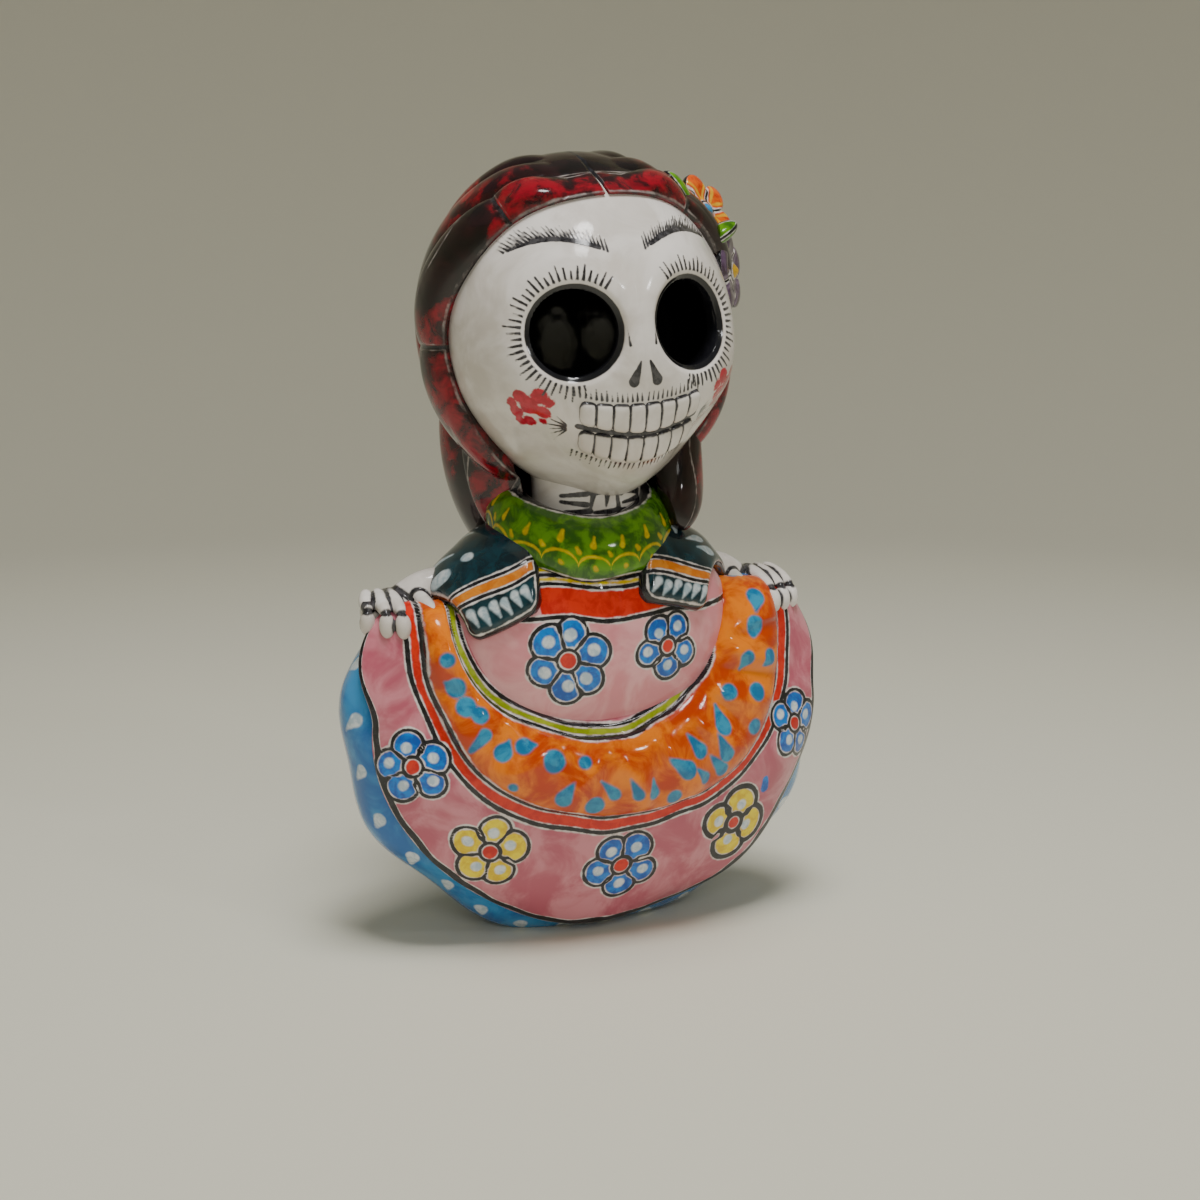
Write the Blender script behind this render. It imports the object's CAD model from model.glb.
"""A glazed earthenware lady of bones in a spread skirt, painted by hand in majolica colours."""

import logging
import math
from collections.abc import Callable, Sequence
from dataclasses import dataclass, field
from enum import Enum

import bmesh
import bpy
import numpy as np
from mathutils import Matrix, Vector


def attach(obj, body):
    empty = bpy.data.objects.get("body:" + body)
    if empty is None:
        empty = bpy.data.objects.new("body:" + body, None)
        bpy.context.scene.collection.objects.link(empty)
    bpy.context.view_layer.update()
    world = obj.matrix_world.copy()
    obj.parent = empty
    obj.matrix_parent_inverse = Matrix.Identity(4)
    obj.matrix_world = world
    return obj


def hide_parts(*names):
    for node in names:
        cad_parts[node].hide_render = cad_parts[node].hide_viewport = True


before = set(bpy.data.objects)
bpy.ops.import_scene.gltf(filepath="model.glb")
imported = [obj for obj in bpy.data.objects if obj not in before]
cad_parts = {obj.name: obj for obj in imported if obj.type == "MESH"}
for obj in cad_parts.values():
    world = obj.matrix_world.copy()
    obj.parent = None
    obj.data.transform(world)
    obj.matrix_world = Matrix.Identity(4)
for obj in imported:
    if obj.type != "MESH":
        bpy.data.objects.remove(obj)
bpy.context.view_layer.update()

Array = np.ndarray
Number = Array | float
Piece = bpy.types.Object
Socket = bpy.types.NodeSocket
log = logging.getLogger("skeleton_figure")

MM = 0.001
FAR = 99.0  # millimetres, a distance that no painted shape reaches
CENTRING = np.array([0.76, -4.52, 0.0])  # brings the middle of the figure's box to the origin


class Side(Enum):
    """The two sides of the figure, by the sign of their x."""

    RIGHT = -1
    LEFT = 1


class Row(Enum):
    """The two rows of teeth, by the way their roots point."""

    UPPER = 1
    LOWER = -1


# Curves and distances, in millimetres

def lerp(start: Number, end: Number, share: Number) -> Number:
    """Returns the value at a share of the way from start to end."""
    return start + (end - start) * share


def smooth(value: Number, low: float, high: float) -> Number:
    """Returns a soft step from 0 at low to 1 at high."""
    share = np.clip((value - low) / (high - low), 0.0, 1.0)
    return share * share * (3.0 - 2.0 * share)


def bump(distance: Number, width: float) -> Number:
    """Returns a soft hump, 1 at no distance."""
    return np.exp(-((distance / width) ** 2))


def rolled_edge(margin: Array, radius: float) -> Array:
    """Returns the share of its full height that a slab has at a distance from its border."""
    share = np.clip(margin / radius, 0.0, 1.0)
    return np.sqrt(1.0 - (1.0 - share) ** 2)


def columns(*parts: Number) -> Array:
    """Returns the parts side by side as rows of coordinates."""
    return np.stack(np.broadcast_arrays(*parts), axis=-1).astype(float)


def unit(vectors: Array) -> Array:
    """Returns vectors of length one."""
    return vectors / np.maximum(np.linalg.norm(vectors, axis=-1, keepdims=True), 1e-9)


def sphere(turn: Array, polar: Array) -> Array:
    """Returns points of a ball of radius one, by their turn about its poles and angle from the first."""
    return columns(np.cos(turn) * np.sin(polar), np.sin(turn) * np.sin(polar), np.cos(polar))


def facing(direction: Array) -> Array:
    """Returns the matrix that turns what points up to a direction."""
    return np.array(Vector((0.0, 0.0, 1.0)).rotation_difference(Vector(unit(direction))).to_matrix())


def disc(points: Array, centre: Array, radius: float) -> Array:
    """Returns the signed distance to a round dab."""
    return np.linalg.norm(points - centre, axis=1) - radius


def stroke(points: Array, path: Array, widths: Sequence[float]) -> Array:
    """Signed distance to a brush stroke along a path of two or more points.

    Args:
        points: where the distance is wanted, one row each.
        path: the stroke's points, in the same space.
        widths: the stroke's width at each point of its path.

    Returns:
        The distance from each point to the stroke's edge, below zero inside it.
    """
    nearest = np.full(len(points), FAR)
    for start, end, first, last in zip(path[:-1], path[1:], widths[:-1], widths[1:]):
        run = end - start
        share = np.clip((points - start) @ run / max(float(run @ run), 1e-9), 0.0, 1.0)
        away = np.linalg.norm(points - (start + share[:, None] * run), axis=1)
        nearest = np.minimum(nearest, away - lerp(first, last, share) / 2.0)
    return nearest


def drop(points: Array, tip: Sequence[float], head: Sequence[float], width: float,
         point: float = 0.22) -> Array:
    """Signed distance to a dab of the brush: a drop from its thin tip to its round head.

    Args:
        points: where the distance is wanted, one row each.
        tip: where the brush lifted off.
        head: the middle of its round end.
        width: width of the round end.
        point: width of the tip as a share of that.

    Returns:
        The distance from each point to the drop's edge, below zero inside it.
    """
    tip, head = np.asarray(tip, dtype=float), np.asarray(head, dtype=float)
    return np.min([
        disc(points, lerp(tip, head, share), width / 2.0 * lerp(point, 1.0, share**1.15))
        for share in np.linspace(0.0, 1.0, 11)
    ], axis=0)


def wander(points: Array, reach: float = 0.9) -> Array:
    """Moves points a little, as an unsteady hand draws them: no line stays quite true.

    Args:
        points: the points.
        reach: how far they stray.

    Returns:
        The moved points.
    """
    x, y, z = points.T
    return points + reach * columns(
        np.sin(z / 8.3 + 1.0) * 0.6 + np.sin(z / 3.7 + x / 11.0) * 0.3,
        0.0,
        np.sin(x / 7.1 + 2.0) * 0.6 + np.sin(x / 3.3 + z / 12.0 + y / 6.0) * 0.3,
    )


# Clay: the lumps that forms are pressed from

def pick_up(thing: Piece) -> None:
    """Selects one object and nothing else.

    Args:
        thing: the object.
    """
    bpy.ops.object.select_all(action="DESELECT")
    thing.select_set(True)
    bpy.context.view_layer.objects.active = thing


def knead(step: Callable, **settings: object) -> None:
    """Works all of the lump in hand with one edit-mode operator.

    Args:
        step: the operator.
        settings: its settings.
    """
    bpy.ops.object.mode_set(mode="EDIT")
    bpy.ops.mesh.select_all(action="SELECT")
    step(**settings)
    bpy.ops.object.mode_set(mode="OBJECT")


def sheet_of_clay(name: str, across: int, along: int) -> Piece:
    """Adds a flat grid from -1 to 1 and takes it in hand.

    Args:
        name: the piece's name.
        across: number of its cells along x.
        along: number of its cells along y.

    Returns:
        The object.
    """
    bpy.ops.object.select_all(action="DESELECT")
    bpy.ops.mesh.primitive_grid_add(x_subdivisions=across, y_subdivisions=along, size=2.0)
    lump = bpy.context.object
    lump.name = lump.data.name = name
    return lump


def ball(name: str, around: int, along: int) -> tuple[Piece, Array, Array]:
    """Adds a ball of clay, as a grid that is rolled up and closed at its seam and poles.

    Args:
        name: the piece's name.
        around: number of its meridians.
        along: number of its rings from pole to pole.

    Returns:
        The object, and for each vertex its turn about the poles and its share of the way from
        the first pole to the second.
    """
    lump = sheet_of_clay(name, around, along)
    u = coordinates(lump)
    lump.data.vertices.foreach_set("co", sphere(u[:, 0] * math.pi, (1.0 - u[:, 1]) / 2.0 * math.pi).ravel())
    knead(bpy.ops.mesh.remove_doubles, threshold=1e-5)
    u = coordinates(lump)
    turn = np.arctan2(u[:, 1], u[:, 0])
    turn[np.hypot(u[:, 0], u[:, 1]) < 1e-6] = 0.0
    return lump, turn, np.arccos(np.clip(u[:, 2], -1.0, 1.0)) / math.pi


def slab(name: str, along: int, across: int) -> tuple[Piece, Array, Array, Array]:
    """Adds a rolled slab of clay, as a grid that is extruded once.

    Args:
        name: the piece's name.
        along: number of its cells along s.
        across: number of its cells along t.

    Returns:
        The object, and for each vertex s and t from -1 to 1, and whether it is on the top face.
    """
    lump = sheet_of_clay(name, along, across)
    knead(bpy.ops.mesh.extrude_region_move, TRANSFORM_OT_translate={"value": (0.0, 0.0, 1.0)})
    u = coordinates(lump)
    return lump, u[:, 0], u[:, 1], u[:, 2] > 0.5


def egg(name: str, centre: Array, half: Array, axis: Array, around: int, along: int) -> tuple[Piece, Array]:
    """Adds an egg of clay.

    Args:
        name: the piece's name.
        centre: its middle.
        half: its half sizes, the last one along its axis.
        axis: the way that it points.
        around: number of its meridians.
        along: number of its rings.

    Returns:
        The object, and each vertex's direction from the middle before it was stretched and turned.
    """
    lump, turn, share = ball(name, around, along)
    u = sphere(turn, math.pi * share)
    press(lump, (u * half) @ facing(axis).T + centre)
    return lump, u


def coordinates(thing: Piece) -> Array:
    """Reads the vertices of an object's mesh.

    Args:
        thing: the object.

    Returns:
        Their places, one row each.
    """
    flat = np.empty(len(thing.data.vertices) * 3, dtype=np.float64)
    thing.data.vertices.foreach_get("co", flat)
    return flat.reshape(-1, 3)


def formed(thing: Piece) -> Array:
    """Returns a pressed piece's vertices in millimetres, as its form was given."""
    return coordinates(thing) / MM - CENTRING


def press(thing: Piece, points: Array) -> Array:
    """Presses a lump of clay into its form.

    Args:
        thing: the lump.
        points: a place for each vertex, in millimetres from the skirt's middle line.

    Returns:
        The places that the vertices took.
    """
    thing.data.vertices.foreach_set("co", ((points + CENTRING) * MM).ravel())
    thing.data.update()
    pick_up(thing)
    knead(bpy.ops.mesh.normals_make_consistent, inside=False)
    bpy.ops.object.shade_smooth()
    return formed(thing)


# Finishes

def linear(colour: str) -> tuple[float, float, float, float]:
    """Turns an sRGB hex colour into linear values.

    Args:
        colour: the colour, as #rrggbb.

    Returns:
        Its red, green and blue, and 1 for its alpha.
    """
    parts = [int(colour[i:i + 2], 16) / 255.0 for i in (1, 3, 5)]
    red, green, blue = (c / 12.92 if c <= 0.04045 else ((c + 0.055) / 1.055) ** 2.4 for c in parts)
    return red, green, blue, 1.0


def node(tree: bpy.types.NodeTree, kind: str, inputs: dict, output: int | str = 0,
         **settings: str) -> Socket | None:
    """Adds a node with its settings and links.

    Args:
        tree: the node tree.
        kind: the node's type.
        inputs: a value or another node's output for each named or numbered input.
        output: name or number of the output that is wanted.
        settings: attributes of the node.

    Returns:
        The wanted output, or nothing from a node that has none.
    """
    made = tree.nodes.new("ShaderNode" + kind)
    for key, value in settings.items():
        setattr(made, key, value)
    for key, value in inputs.items():
        if isinstance(value, Socket):
            tree.links.new(value, made.inputs[key])
        else:
            made.inputs[key].default_value = value
    return made.outputs[output] if made.outputs else None


@dataclass(frozen=True)
class Pigment:
    """One colour of the painter's palette, brushed where its field is below zero.

    Attributes:
        field: the painted field, a signed distance in millimetres.
        colour: where the coat is thick.
        thin: where the brush left little of it.
        soft: millimetres over which its edge bleeds into the glaze.
        wobble: millimetres that the hand strays from the drawn edge.
        patch: size of its blotches in millimetres.
        shy: millimetres of bare glaze that the painter leaves beside a dark line.
    """

    field: str
    colour: str
    thin: str
    soft: float = 0.35
    wobble: float = 0.7
    patch: float = 7.0
    shy: float = 0.5


@dataclass(frozen=True)
class Majolica:
    """Hand-painted majolica: pigments brushed on a white tin glaze and fired under a clear one.

    The clear glaze is thick and glassy, so that highlights are small and bright and wander a
    little where it ran; the tin glaze below is a warm white and shows beside the dark lines.

    Attributes:
        name: the finish's name.
        ground: the pigment that covers the piece.
        pigments: those painted over it, the last one on top.
        tin: the tin glaze, and its tint where it is thin.
        roughness: of the clear glaze.
        cloud: millimetres between the tints of the tin glaze.
        tremble: millimetres between the strayings of the hand.
        ripple: millimetres between the waves of the clear glaze.
        ripple_height: their height in millimetres.
        line_height: millimetres by which the dark lines stand proud.
    """

    name: str
    ground: Pigment
    pigments: tuple[Pigment, ...]
    tin: tuple[str, str] = ("#e6e0dc", "#d6cdc8")
    roughness: float = 0.13
    cloud: float = 26.0
    tremble: float = 4.0
    ripple: float = 11.0
    ripple_height: float = 0.6
    line_height: float = 0.06

    def material(self) -> bpy.types.Material:
        """Builds the finish.

        Returns:
            The material.
        """
        made = bpy.data.materials.new(self.name)
        made.use_nodes = True
        tree = made.node_tree
        tree.nodes.clear()
        place = node(tree, "TexCoord", {}, "Object")
        line = node(tree, "Attribute", {}, "Fac", attribute_name="ink")
        hand = {"Vector": place, "Scale": 1.0 / (self.tremble * MM), "Detail": 3.0, "Roughness": 0.6}
        stray = node(tree, "Math", {0: node(tree, "TexNoise", hand), 1: 0.5}, operation="SUBTRACT")
        cloud = node(tree, "TexNoise", {"Vector": place, "Scale": 1.0 / (self.cloud * MM), "Detail": 3.0})
        share = node(tree, "MapRange", {0: cloud, 1: 0.35, 2: 0.7}, interpolation_type="SMOOTHSTEP")
        first, second = (linear(colour) for colour in self.tin)
        colour = node(tree, "Mix", {0: share, 6: first, 7: second}, 2, data_type="RGBA")
        for pigment in (self.ground, *self.pigments):
            cover = self.cover(tree, pigment, stray, line)
            coat = self.coat(tree, pigment, place)
            colour = node(tree, "Mix", {0: cover, 6: colour, 7: coat}, 2, data_type="RGBA")
        shader = node(tree, "BsdfPrincipled", {
            "Base Color": colour, "Roughness": self.roughness, "IOR": 1.5,
            "Coat Weight": 0.35, "Coat Roughness": 0.04, "Coat IOR": 1.5,
            "Normal": self.relief(tree, place, line),
        })
        node(tree, "OutputMaterial", {"Surface": shader})
        return made

    def cover(self, tree: bpy.types.NodeTree, pigment: Pigment, stray: Socket, line: Socket) -> Socket:
        """Finds where a pigment lies.

        Args:
            tree: the node tree.
            pigment: the pigment.
            stray: the hand's unsteadiness, from -0.5 to 0.5.
            line: the distance to the dark lines.

        Returns:
            Its cover, from 0 to 1.
        """
        distance = node(tree, "Attribute", {}, "Fac", attribute_name=pigment.field)
        if pigment.shy > 0:
            clear = node(tree, "Math", {0: pigment.shy, 1: line}, operation="SUBTRACT")
            distance = node(tree, "Math", {0: distance, 1: clear}, operation="MAXIMUM")
        moved = node(tree, "Math", {0: stray, 1: pigment.wobble * 2.0, 2: distance}, operation="MULTIPLY_ADD")
        edge = {0: moved, 1: pigment.soft, 2: -pigment.soft}
        return node(tree, "MapRange", edge, interpolation_type="SMOOTHSTEP")

    def coat(self, tree: bpy.types.NodeTree, pigment: Pigment, place: Socket) -> Socket:
        """Mixes a pigment's blotchy colour.

        Args:
            tree: the node tree.
            pigment: the pigment.
            place: the place on the piece.

        Returns:
            The colour.
        """
        blotch = node(tree, "TexNoise", {
            "Vector": place, "Scale": 1.0 / (pigment.patch * MM), "Detail": 4.0,
            "Roughness": 0.6, "Distortion": 0.6,
        })
        thick = node(tree, "MapRange", {0: blotch, 1: 0.36, 2: 0.62}, interpolation_type="SMOOTHSTEP")
        colours = {0: thick, 6: linear(pigment.thin), 7: linear(pigment.colour)}
        return node(tree, "Mix", colours, 2, data_type="RGBA")

    def relief(self, tree: bpy.types.NodeTree, place: Socket, line: Socket) -> Socket:
        """Shapes the clear glaze: long waves, and the dark lines a little proud.

        Args:
            tree: the node tree.
            place: the place on the piece.
            line: the distance to the dark lines.

        Returns:
            The normal.
        """
        waves = node(tree, "TexNoise", {"Vector": place, "Scale": 1.0 / (self.ripple * MM), "Detail": 1.5})
        rolled = node(tree, "Bump", {"Strength": 1.0, "Distance": self.ripple_height * MM, "Height": waves})
        proud = node(tree, "MapRange", {0: line, 1: 0.5, 2: -0.4}, interpolation_type="SMOOTHSTEP")
        return node(tree, "Bump", {
            "Strength": 1.0, "Distance": self.line_height * MM, "Height": proud, "Normal": rolled})


@dataclass
class Paint:
    """What is painted on one piece: for each pigment a signed distance, below zero inside its shapes.

    Attributes:
        points: the piece's vertices in millimetres, or their places on its flat pattern.
        finish: the pigments and glazes.
        fields: the distances, by the name of their pigment's field.
    """

    points: Array
    finish: Majolica
    fields: dict[str, Array] = field(init=False)

    def __post_init__(self) -> None:
        """Lays on the ground and nothing else."""
        names = [pigment.field for pigment in (self.finish.ground, *self.finish.pigments)]
        self.fields = {name: np.full(len(self.points), FAR if name != names[0] else -FAR) for name in names}

    def add(self, name: str, distance: Array, where: Array | bool = True) -> None:
        """Adds a shape to one field, where it is wanted."""
        self.fields[name] = np.minimum(self.fields[name], np.where(where, distance, FAR))

    def dab(self, name: str, centre: Array, reach: float, shape: Callable[..., Array],
            *sizes: object) -> None:
        """Adds a small shape to one field, and reckons only the points near it.

        Args:
            name: the field.
            centre: the shape's middle.
            reach: how far from there the shape may lie.
            shape: the function that gives its distance.
            sizes: what that function takes after the points.
        """
        chosen = disc(self.points, centre, reach) < 0
        self.fields[name][chosen] = np.minimum(self.fields[name][chosen], shape(self.points[chosen], *sizes))

    def dress(self, piece: Piece) -> Piece:
        """Gives the paint to its piece and sets the piece in the frame.

        Args:
            piece: the pressed piece.

        Returns:
            The piece.
        """
        for name, values in self.fields.items():
            layer = piece.data.attributes.new(name, "FLOAT", "POINT")
            layer.data.foreach_set("value", values.astype(np.float32))
        piece.data.materials.clear()
        piece.data.materials.append(self.finish.material())
        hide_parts("skeleton_figure")
        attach(piece, "root")
        log.info("%s: %d faces", piece.name, len(piece.data.polygons))
        return piece


INK = Pigment("ink", "#131316", "#2c2b30", soft=0.2, wobble=0.5, patch=3.0, shy=0.0)
VERMILION = Pigment("vermilion", "#c41606", "#dc2e10", patch=5.0, shy=0.4)
WHITE = Pigment("white", "#dfe6ea", "#b3c6d2", soft=0.45, wobble=0.4, patch=3.0, shy=0.0)
COBALT = Pigment("cobalt", "#0050ac", "#0f80dc", patch=4.5, shy=0.3)
YELLOW = Pigment("yellow", "#deb800", "#f8e012", patch=5.0, shy=0.3)
TURQUOISE = Pigment("turquoise", "#136d9c", "#2f93b8", soft=0.6, wobble=0.35, patch=5.0, shy=0.0)
ORANGE = Pigment("orange", "#c03a00", "#f08000", soft=0.4, patch=13.0, shy=0.4)
LIME = Pigment("lime", "#8a9a10", "#a9b72a", shy=0.4)
ROSE = Pigment("rose", "#ba5c6e", "#d58893", patch=17.0, shy=0.4)
PALE_ROSE = Pigment("rose", "#de8c94", "#eeaeb2", patch=20.0, shy=0.4)
SKY = Pigment("sky", "#0f66b0", "#3c92cc", patch=18.0, shy=0.4)
TEAL = Pigment("teal", "#0b2229", "#123a44", patch=8.0)
AMBER = Pigment("amber", "#cf6f14", "#e08d2c", patch=6.0)
SHAWL_WHITE = Pigment("white", "#cdd5d8", "#9fb4bc", soft=0.5, wobble=0.4, patch=3.0, shy=0.0)
GREEN = Pigment("green", "#2c5a08", "#5f9608", patch=7.0, shy=0.3)
COLLAR_YELLOW = Pigment("yellow", "#c0a204", "#d6bc06", soft=0.4, wobble=0.6, patch=3.0, shy=0.0)
BONE = Pigment("bone", "#e6e0da", "#d2cac1", patch=22.0, shy=0.0)
GREY_INK = Pigment("ink", "#242326", "#4b494b", soft=0.2, wobble=0.35, patch=2.5, shy=0.0)
CRIMSON_CHEEK = Pigment("crimson", "#ac0a22", "#c61c34", soft=0.4, wobble=2.0, patch=3.0, shy=0.0)
NIGHT = Pigment("night", "#131316", "#1a1a1e", soft=0.25, wobble=0.2, patch=9.0, shy=0.0)
BLACKBROWN = Pigment("brown", "#120c0b", "#261314", patch=10.0, shy=0.0)
CRIMSON_HAIR = Pigment("crimson", "#8e0a1e", "#260b10", soft=2.0, wobble=4.0, patch=8.0, shy=0.0)
GROOVE_LIGHT = Pigment("light", "#9a918c", "#4d4543", soft=0.25, wobble=0.5, patch=9.0, shy=0.0)
FLAME = Pigment("petal", "#bc2c06", "#e0600c", patch=5.0)
GOLD_STRIPE = Pigment("stripe", "#d99a1a", "#e0b030", soft=0.4, patch=4.0)
BLUE_HEART = Pigment("heart", "#2f7fae", "#4a97c0", patch=3.0)
PURPLE = Pigment("petal", "#3a2438", "#5b4560", patch=6.0)
LILAC_STRIPE = Pigment("stripe", "#6e5a72", "#7d6b80", soft=0.5, patch=5.0)
GOLD_HEART = Pigment("heart", "#c99a16", "#d8b030", patch=3.0)


# Drawings that the brush repeats

@dataclass(frozen=True)
class Oval:
    """An oval in the front view, by its middle, its half sizes and how square it is."""

    x: float
    z: float
    wide: float
    tall: float
    power: float = 2.0

    def distance(self, x: Array, z: Array) -> Array:
        """Measures how far places lie outside the oval.

        Args:
            x: their places across.
            z: their levels.

        Returns:
            The signed distance, below zero inside the oval.
        """
        across, up = np.abs(x - self.x) / self.wide, np.abs(z - self.z) / self.tall
        ratio = np.maximum((across**self.power + up**self.power) ** (1.0 / self.power), 1e-6)
        slope = np.hypot(across ** (self.power - 1.0) / self.wide, up ** (self.power - 1.0) / self.tall)
        return (ratio - 1.0) * ratio ** (self.power - 1.0) / np.maximum(slope, 1e-6)

    def angle(self, x: Array, z: Array) -> Array:
        """Returns the direction of a place from the oval's middle, from -pi to pi."""
        return np.arctan2((z - self.z) / self.tall, (x - self.x) / self.wide)

    def at(self, angle: float) -> Array:
        """Finds a place on the oval's line.

        Args:
            angle: its angle, in radians.

        Returns:
            Its place across and its level.
        """
        ways = np.array([math.cos(angle), math.sin(angle)])
        shares = np.copysign(np.abs(ways) ** (2.0 / self.power), ways)
        return np.array([self.x, self.z]) + [self.wide, self.tall] * shares


@dataclass(frozen=True)
class Blossom:
    """A painted flower: round petals with a dot each, about a small round centre.

    The petals sit in a ring and each has its own outline, as the brush leaves it.
    """

    petals: int
    radius: float
    turn: float = 0.3
    line: float = 1.3
    plump: float = 1.0

    def paint(self, paint: Paint, place: Callable[[float, float], Array], x: float, z: float,
              petal: str) -> None:
        """Lays the flower over what is painted already.

        Args:
            paint: the piece's paint, changed in place.
            place: gives the point of the surface at a place of the front view.
            x: the flower's place across.
            z: its level.
            petal: name of the pigment that its petals take.
        """
        centre = place(x, z)
        right = unit(place(x + 2.0, z) - place(x - 2.0, z))
        above = unit(place(x, z + 2.0) - place(x, z - 2.0))
        up = unit(above - right * float(above @ right))
        chosen = disc(paint.points, centre, self.radius * 1.6) < 0
        away = wander(paint.points[chosen], 0.7) - wander(centre[None, :], 0.7)
        flat = columns(away @ right, away @ up)
        distances, dots = [], np.full(len(flat), FAR)
        for index in range(self.petals):
            angle = self.turn + index * math.tau / self.petals
            angle += 0.09 * math.sin(index * 4.1 + self.turn * 9.0)
            uneven = 1.0 + 0.09 * math.sin(index * 2.4 + self.radius)
            size = self.radius * 0.43 * self.plump * min(1.0, 5.5 / self.petals) * uneven
            direction = np.array([math.cos(angle), math.sin(angle)])
            middle = direction * (self.radius - size) * (1.0 + 0.05 * math.sin(index * 3.3 + self.turn))
            spine = np.array([direction * self.radius * 0.4, middle])
            distances.append(stroke(flat, spine, (size * 1.2, size * 2.0)))
            astray = np.array([math.sin(index * 5.0 + self.turn), math.cos(index * 3.0 + self.turn)])
            dot = middle + 0.6 * astray
            dots = np.minimum(dots, drop(flat, dot - direction * 0.8, dot, self.radius * 0.29, 0.6))
        nearest, second = np.sort(np.array(distances), axis=0)[:2]
        heart = np.linalg.norm(flat, axis=1) - self.radius * 0.2
        outline = np.minimum(np.abs(nearest), np.maximum(nearest, (second - nearest) / 2.0)) - self.line / 2.0
        ring = np.abs(heart - 0.85) - self.line * 0.5
        ink = np.minimum(np.where(heart < 0.8, FAR, outline), ring)
        for values in paint.fields.values():
            values[chosen] = np.maximum(values[chosen], -np.minimum(nearest, heart - 0.8))
        shapes = (
            (petal, np.maximum(nearest, 1.0 - heart)), ("white", dots), ("vermilion", heart), ("ink", ink),
        )
        for name, distance in shapes:
            paint.fields[name][chosen] = np.minimum(paint.fields[name][chosen], distance)


# Skirt

@dataclass
class Skirt:
    """The spread skirt: a pink apron with a pleated flounce before a blue back."""

    half_width: float = 91.5
    half_height: float = 82.0
    foot_cut: float = 4.0
    front: float = 37.0
    back: float = 44.0
    hand_rise: float = 47.0
    apron_step: float = 2.2
    hem_reach: float = 85.0
    hem_round: float = 2.6
    hem_waves: int = 7
    hem_line: float = 3.9
    hem_line_width: float = 3.8
    puff: float = 5.4
    ring_width: float = 5.8
    lime_width: float = 3.9
    drop_spread: float = 1.12
    fold_depth: float = 1.5
    inner: Oval = Oval(-8.0, 118.0, 50.0, 41.0)
    outer: Oval = Oval(0.4, 111.8, 68.4, 63.6, 2.25)

    @property
    def centre(self) -> float:
        """Level of the skirt's middle."""
        return self.half_height - self.foot_cut

    @property
    def top(self) -> float:
        """Level of the edge that the hands hold."""
        return self.centre + self.hand_rise

    def outline(self, angle: Array) -> Array:
        """Measures the outline in the front view.

        Args:
            angle: angles about the skirt's middle.

        Returns:
            The distances from the middle to the outline.
        """
        oval = 1.0 / np.hypot(np.cos(angle) / self.half_width, np.sin(angle) / self.half_height)
        flat = self.hand_rise / np.maximum(0.2, np.sin(angle))
        return -5.0 * np.log(np.exp(-oval / 5.0) + np.exp(-flat / 5.0))

    def fullness(self, z: Array) -> Array:
        """Returns how full the front is at a level: it falls back under the bodice."""
        return 1.0 - 0.24 * smooth(z, self.centre * 0.75, self.centre * 1.25)

    def plain_y(self, x: Array, z: Array) -> Array:
        """Finds the depth of the apron's plain surface.

        Args:
            x: places across the front view.
            z: their levels.

        Returns:
            The surface's y there.
        """
        share = np.hypot(x, z - self.centre) / self.outline(np.arctan2(z - self.centre, x))
        rise = self.front * np.sqrt(np.maximum(0.0, 1.0 - share**2)) * self.fullness(z)
        return -rise - self.apron_step

    def hem(self, angle: Array) -> Array:
        """Finds the apron's wavy edge.

        Args:
            angle: angles in the front view.

        Returns:
            The edge's angle from the front there.
        """
        up = np.sin(angle)
        plain = 63.5 + 4.5 * smooth(up, -0.5, 0.05) + 20.0 * smooth(up, 0.05, 0.42)
        return np.radians(plain + 1.6 * np.sin(self.hem_waves * angle + 3.05) * smooth(-up, -0.4, -0.1))

    def surface(self, angle: Array, polar: Array, lift: Number) -> Array:
        """Finds points of the skirt.

        Args:
            angle: their angle in the front view.
            polar: their angle from the front.
            lift: how far they stand out.

        Returns:
            The points.
        """
        lump = 0.9 * np.sin(5.0 * angle + 1.0) * np.sin(polar * 3.0)
        radius = (self.outline(angle) + lift + lump) * np.sin(polar)
        z = self.centre + np.sin(angle) * radius
        toward = np.cos(polar)
        low = smooth(-np.sin(angle), 0.2, 1.0)
        before = -toward * self.front * self.fullness(z) - lift
        behind = np.maximum(-toward, 0.0) ** lerp(0.95, 0.7, low) * self.back + np.minimum(lift, 0.0)
        return columns(np.cos(angle) * radius, np.where(toward > 0, before, behind), z)

    def puffed(self, x: Array, z: Array) -> Array:
        """Measures how far the flounce stands out.

        Args:
            x: places across the front view.
            z: their levels.

        Returns:
            The distances from the plain surface.
        """
        inside, outside = self.inner.distance(x, z), self.outer.distance(x, z)
        share = np.clip(inside / np.maximum(inside - outside, 1e-6), 0.0, 1.0)
        profile = np.sqrt(np.maximum(0.0, 1.0 - np.abs(2.0 * share - 1.0) ** 3.0))
        angle = np.degrees(self.outer.angle(x, z)) % 360.0
        fold = sum(
            height * bump(angle - middle - slant * (share - 0.5), width) * smooth(share, 0.02, 0.4)
            for middle, slant, width, height in FLOUNCE_FOLDS
        )
        bowl = -4.5 * smooth(-inside, self.lime_width - 0.5, self.lime_width + 4.0)
        return profile * (self.puff + fold) + bowl

    def front_place(self, x: float, z: float) -> Array:
        """Returns the point of the apron's surface at a place of the front view."""
        flat = np.array([x]), np.array([z])
        return np.array([x, (self.plain_y(*flat) - self.puffed(*flat))[0], z])

    def ring_place(self, angle: float, across: float) -> Array:
        """Returns a point of the flounce, by its angle and its share from the inner to the outer border."""
        return self.front_place(*lerp(self.inner.at(angle), self.outer.at(angle), across))

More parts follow.
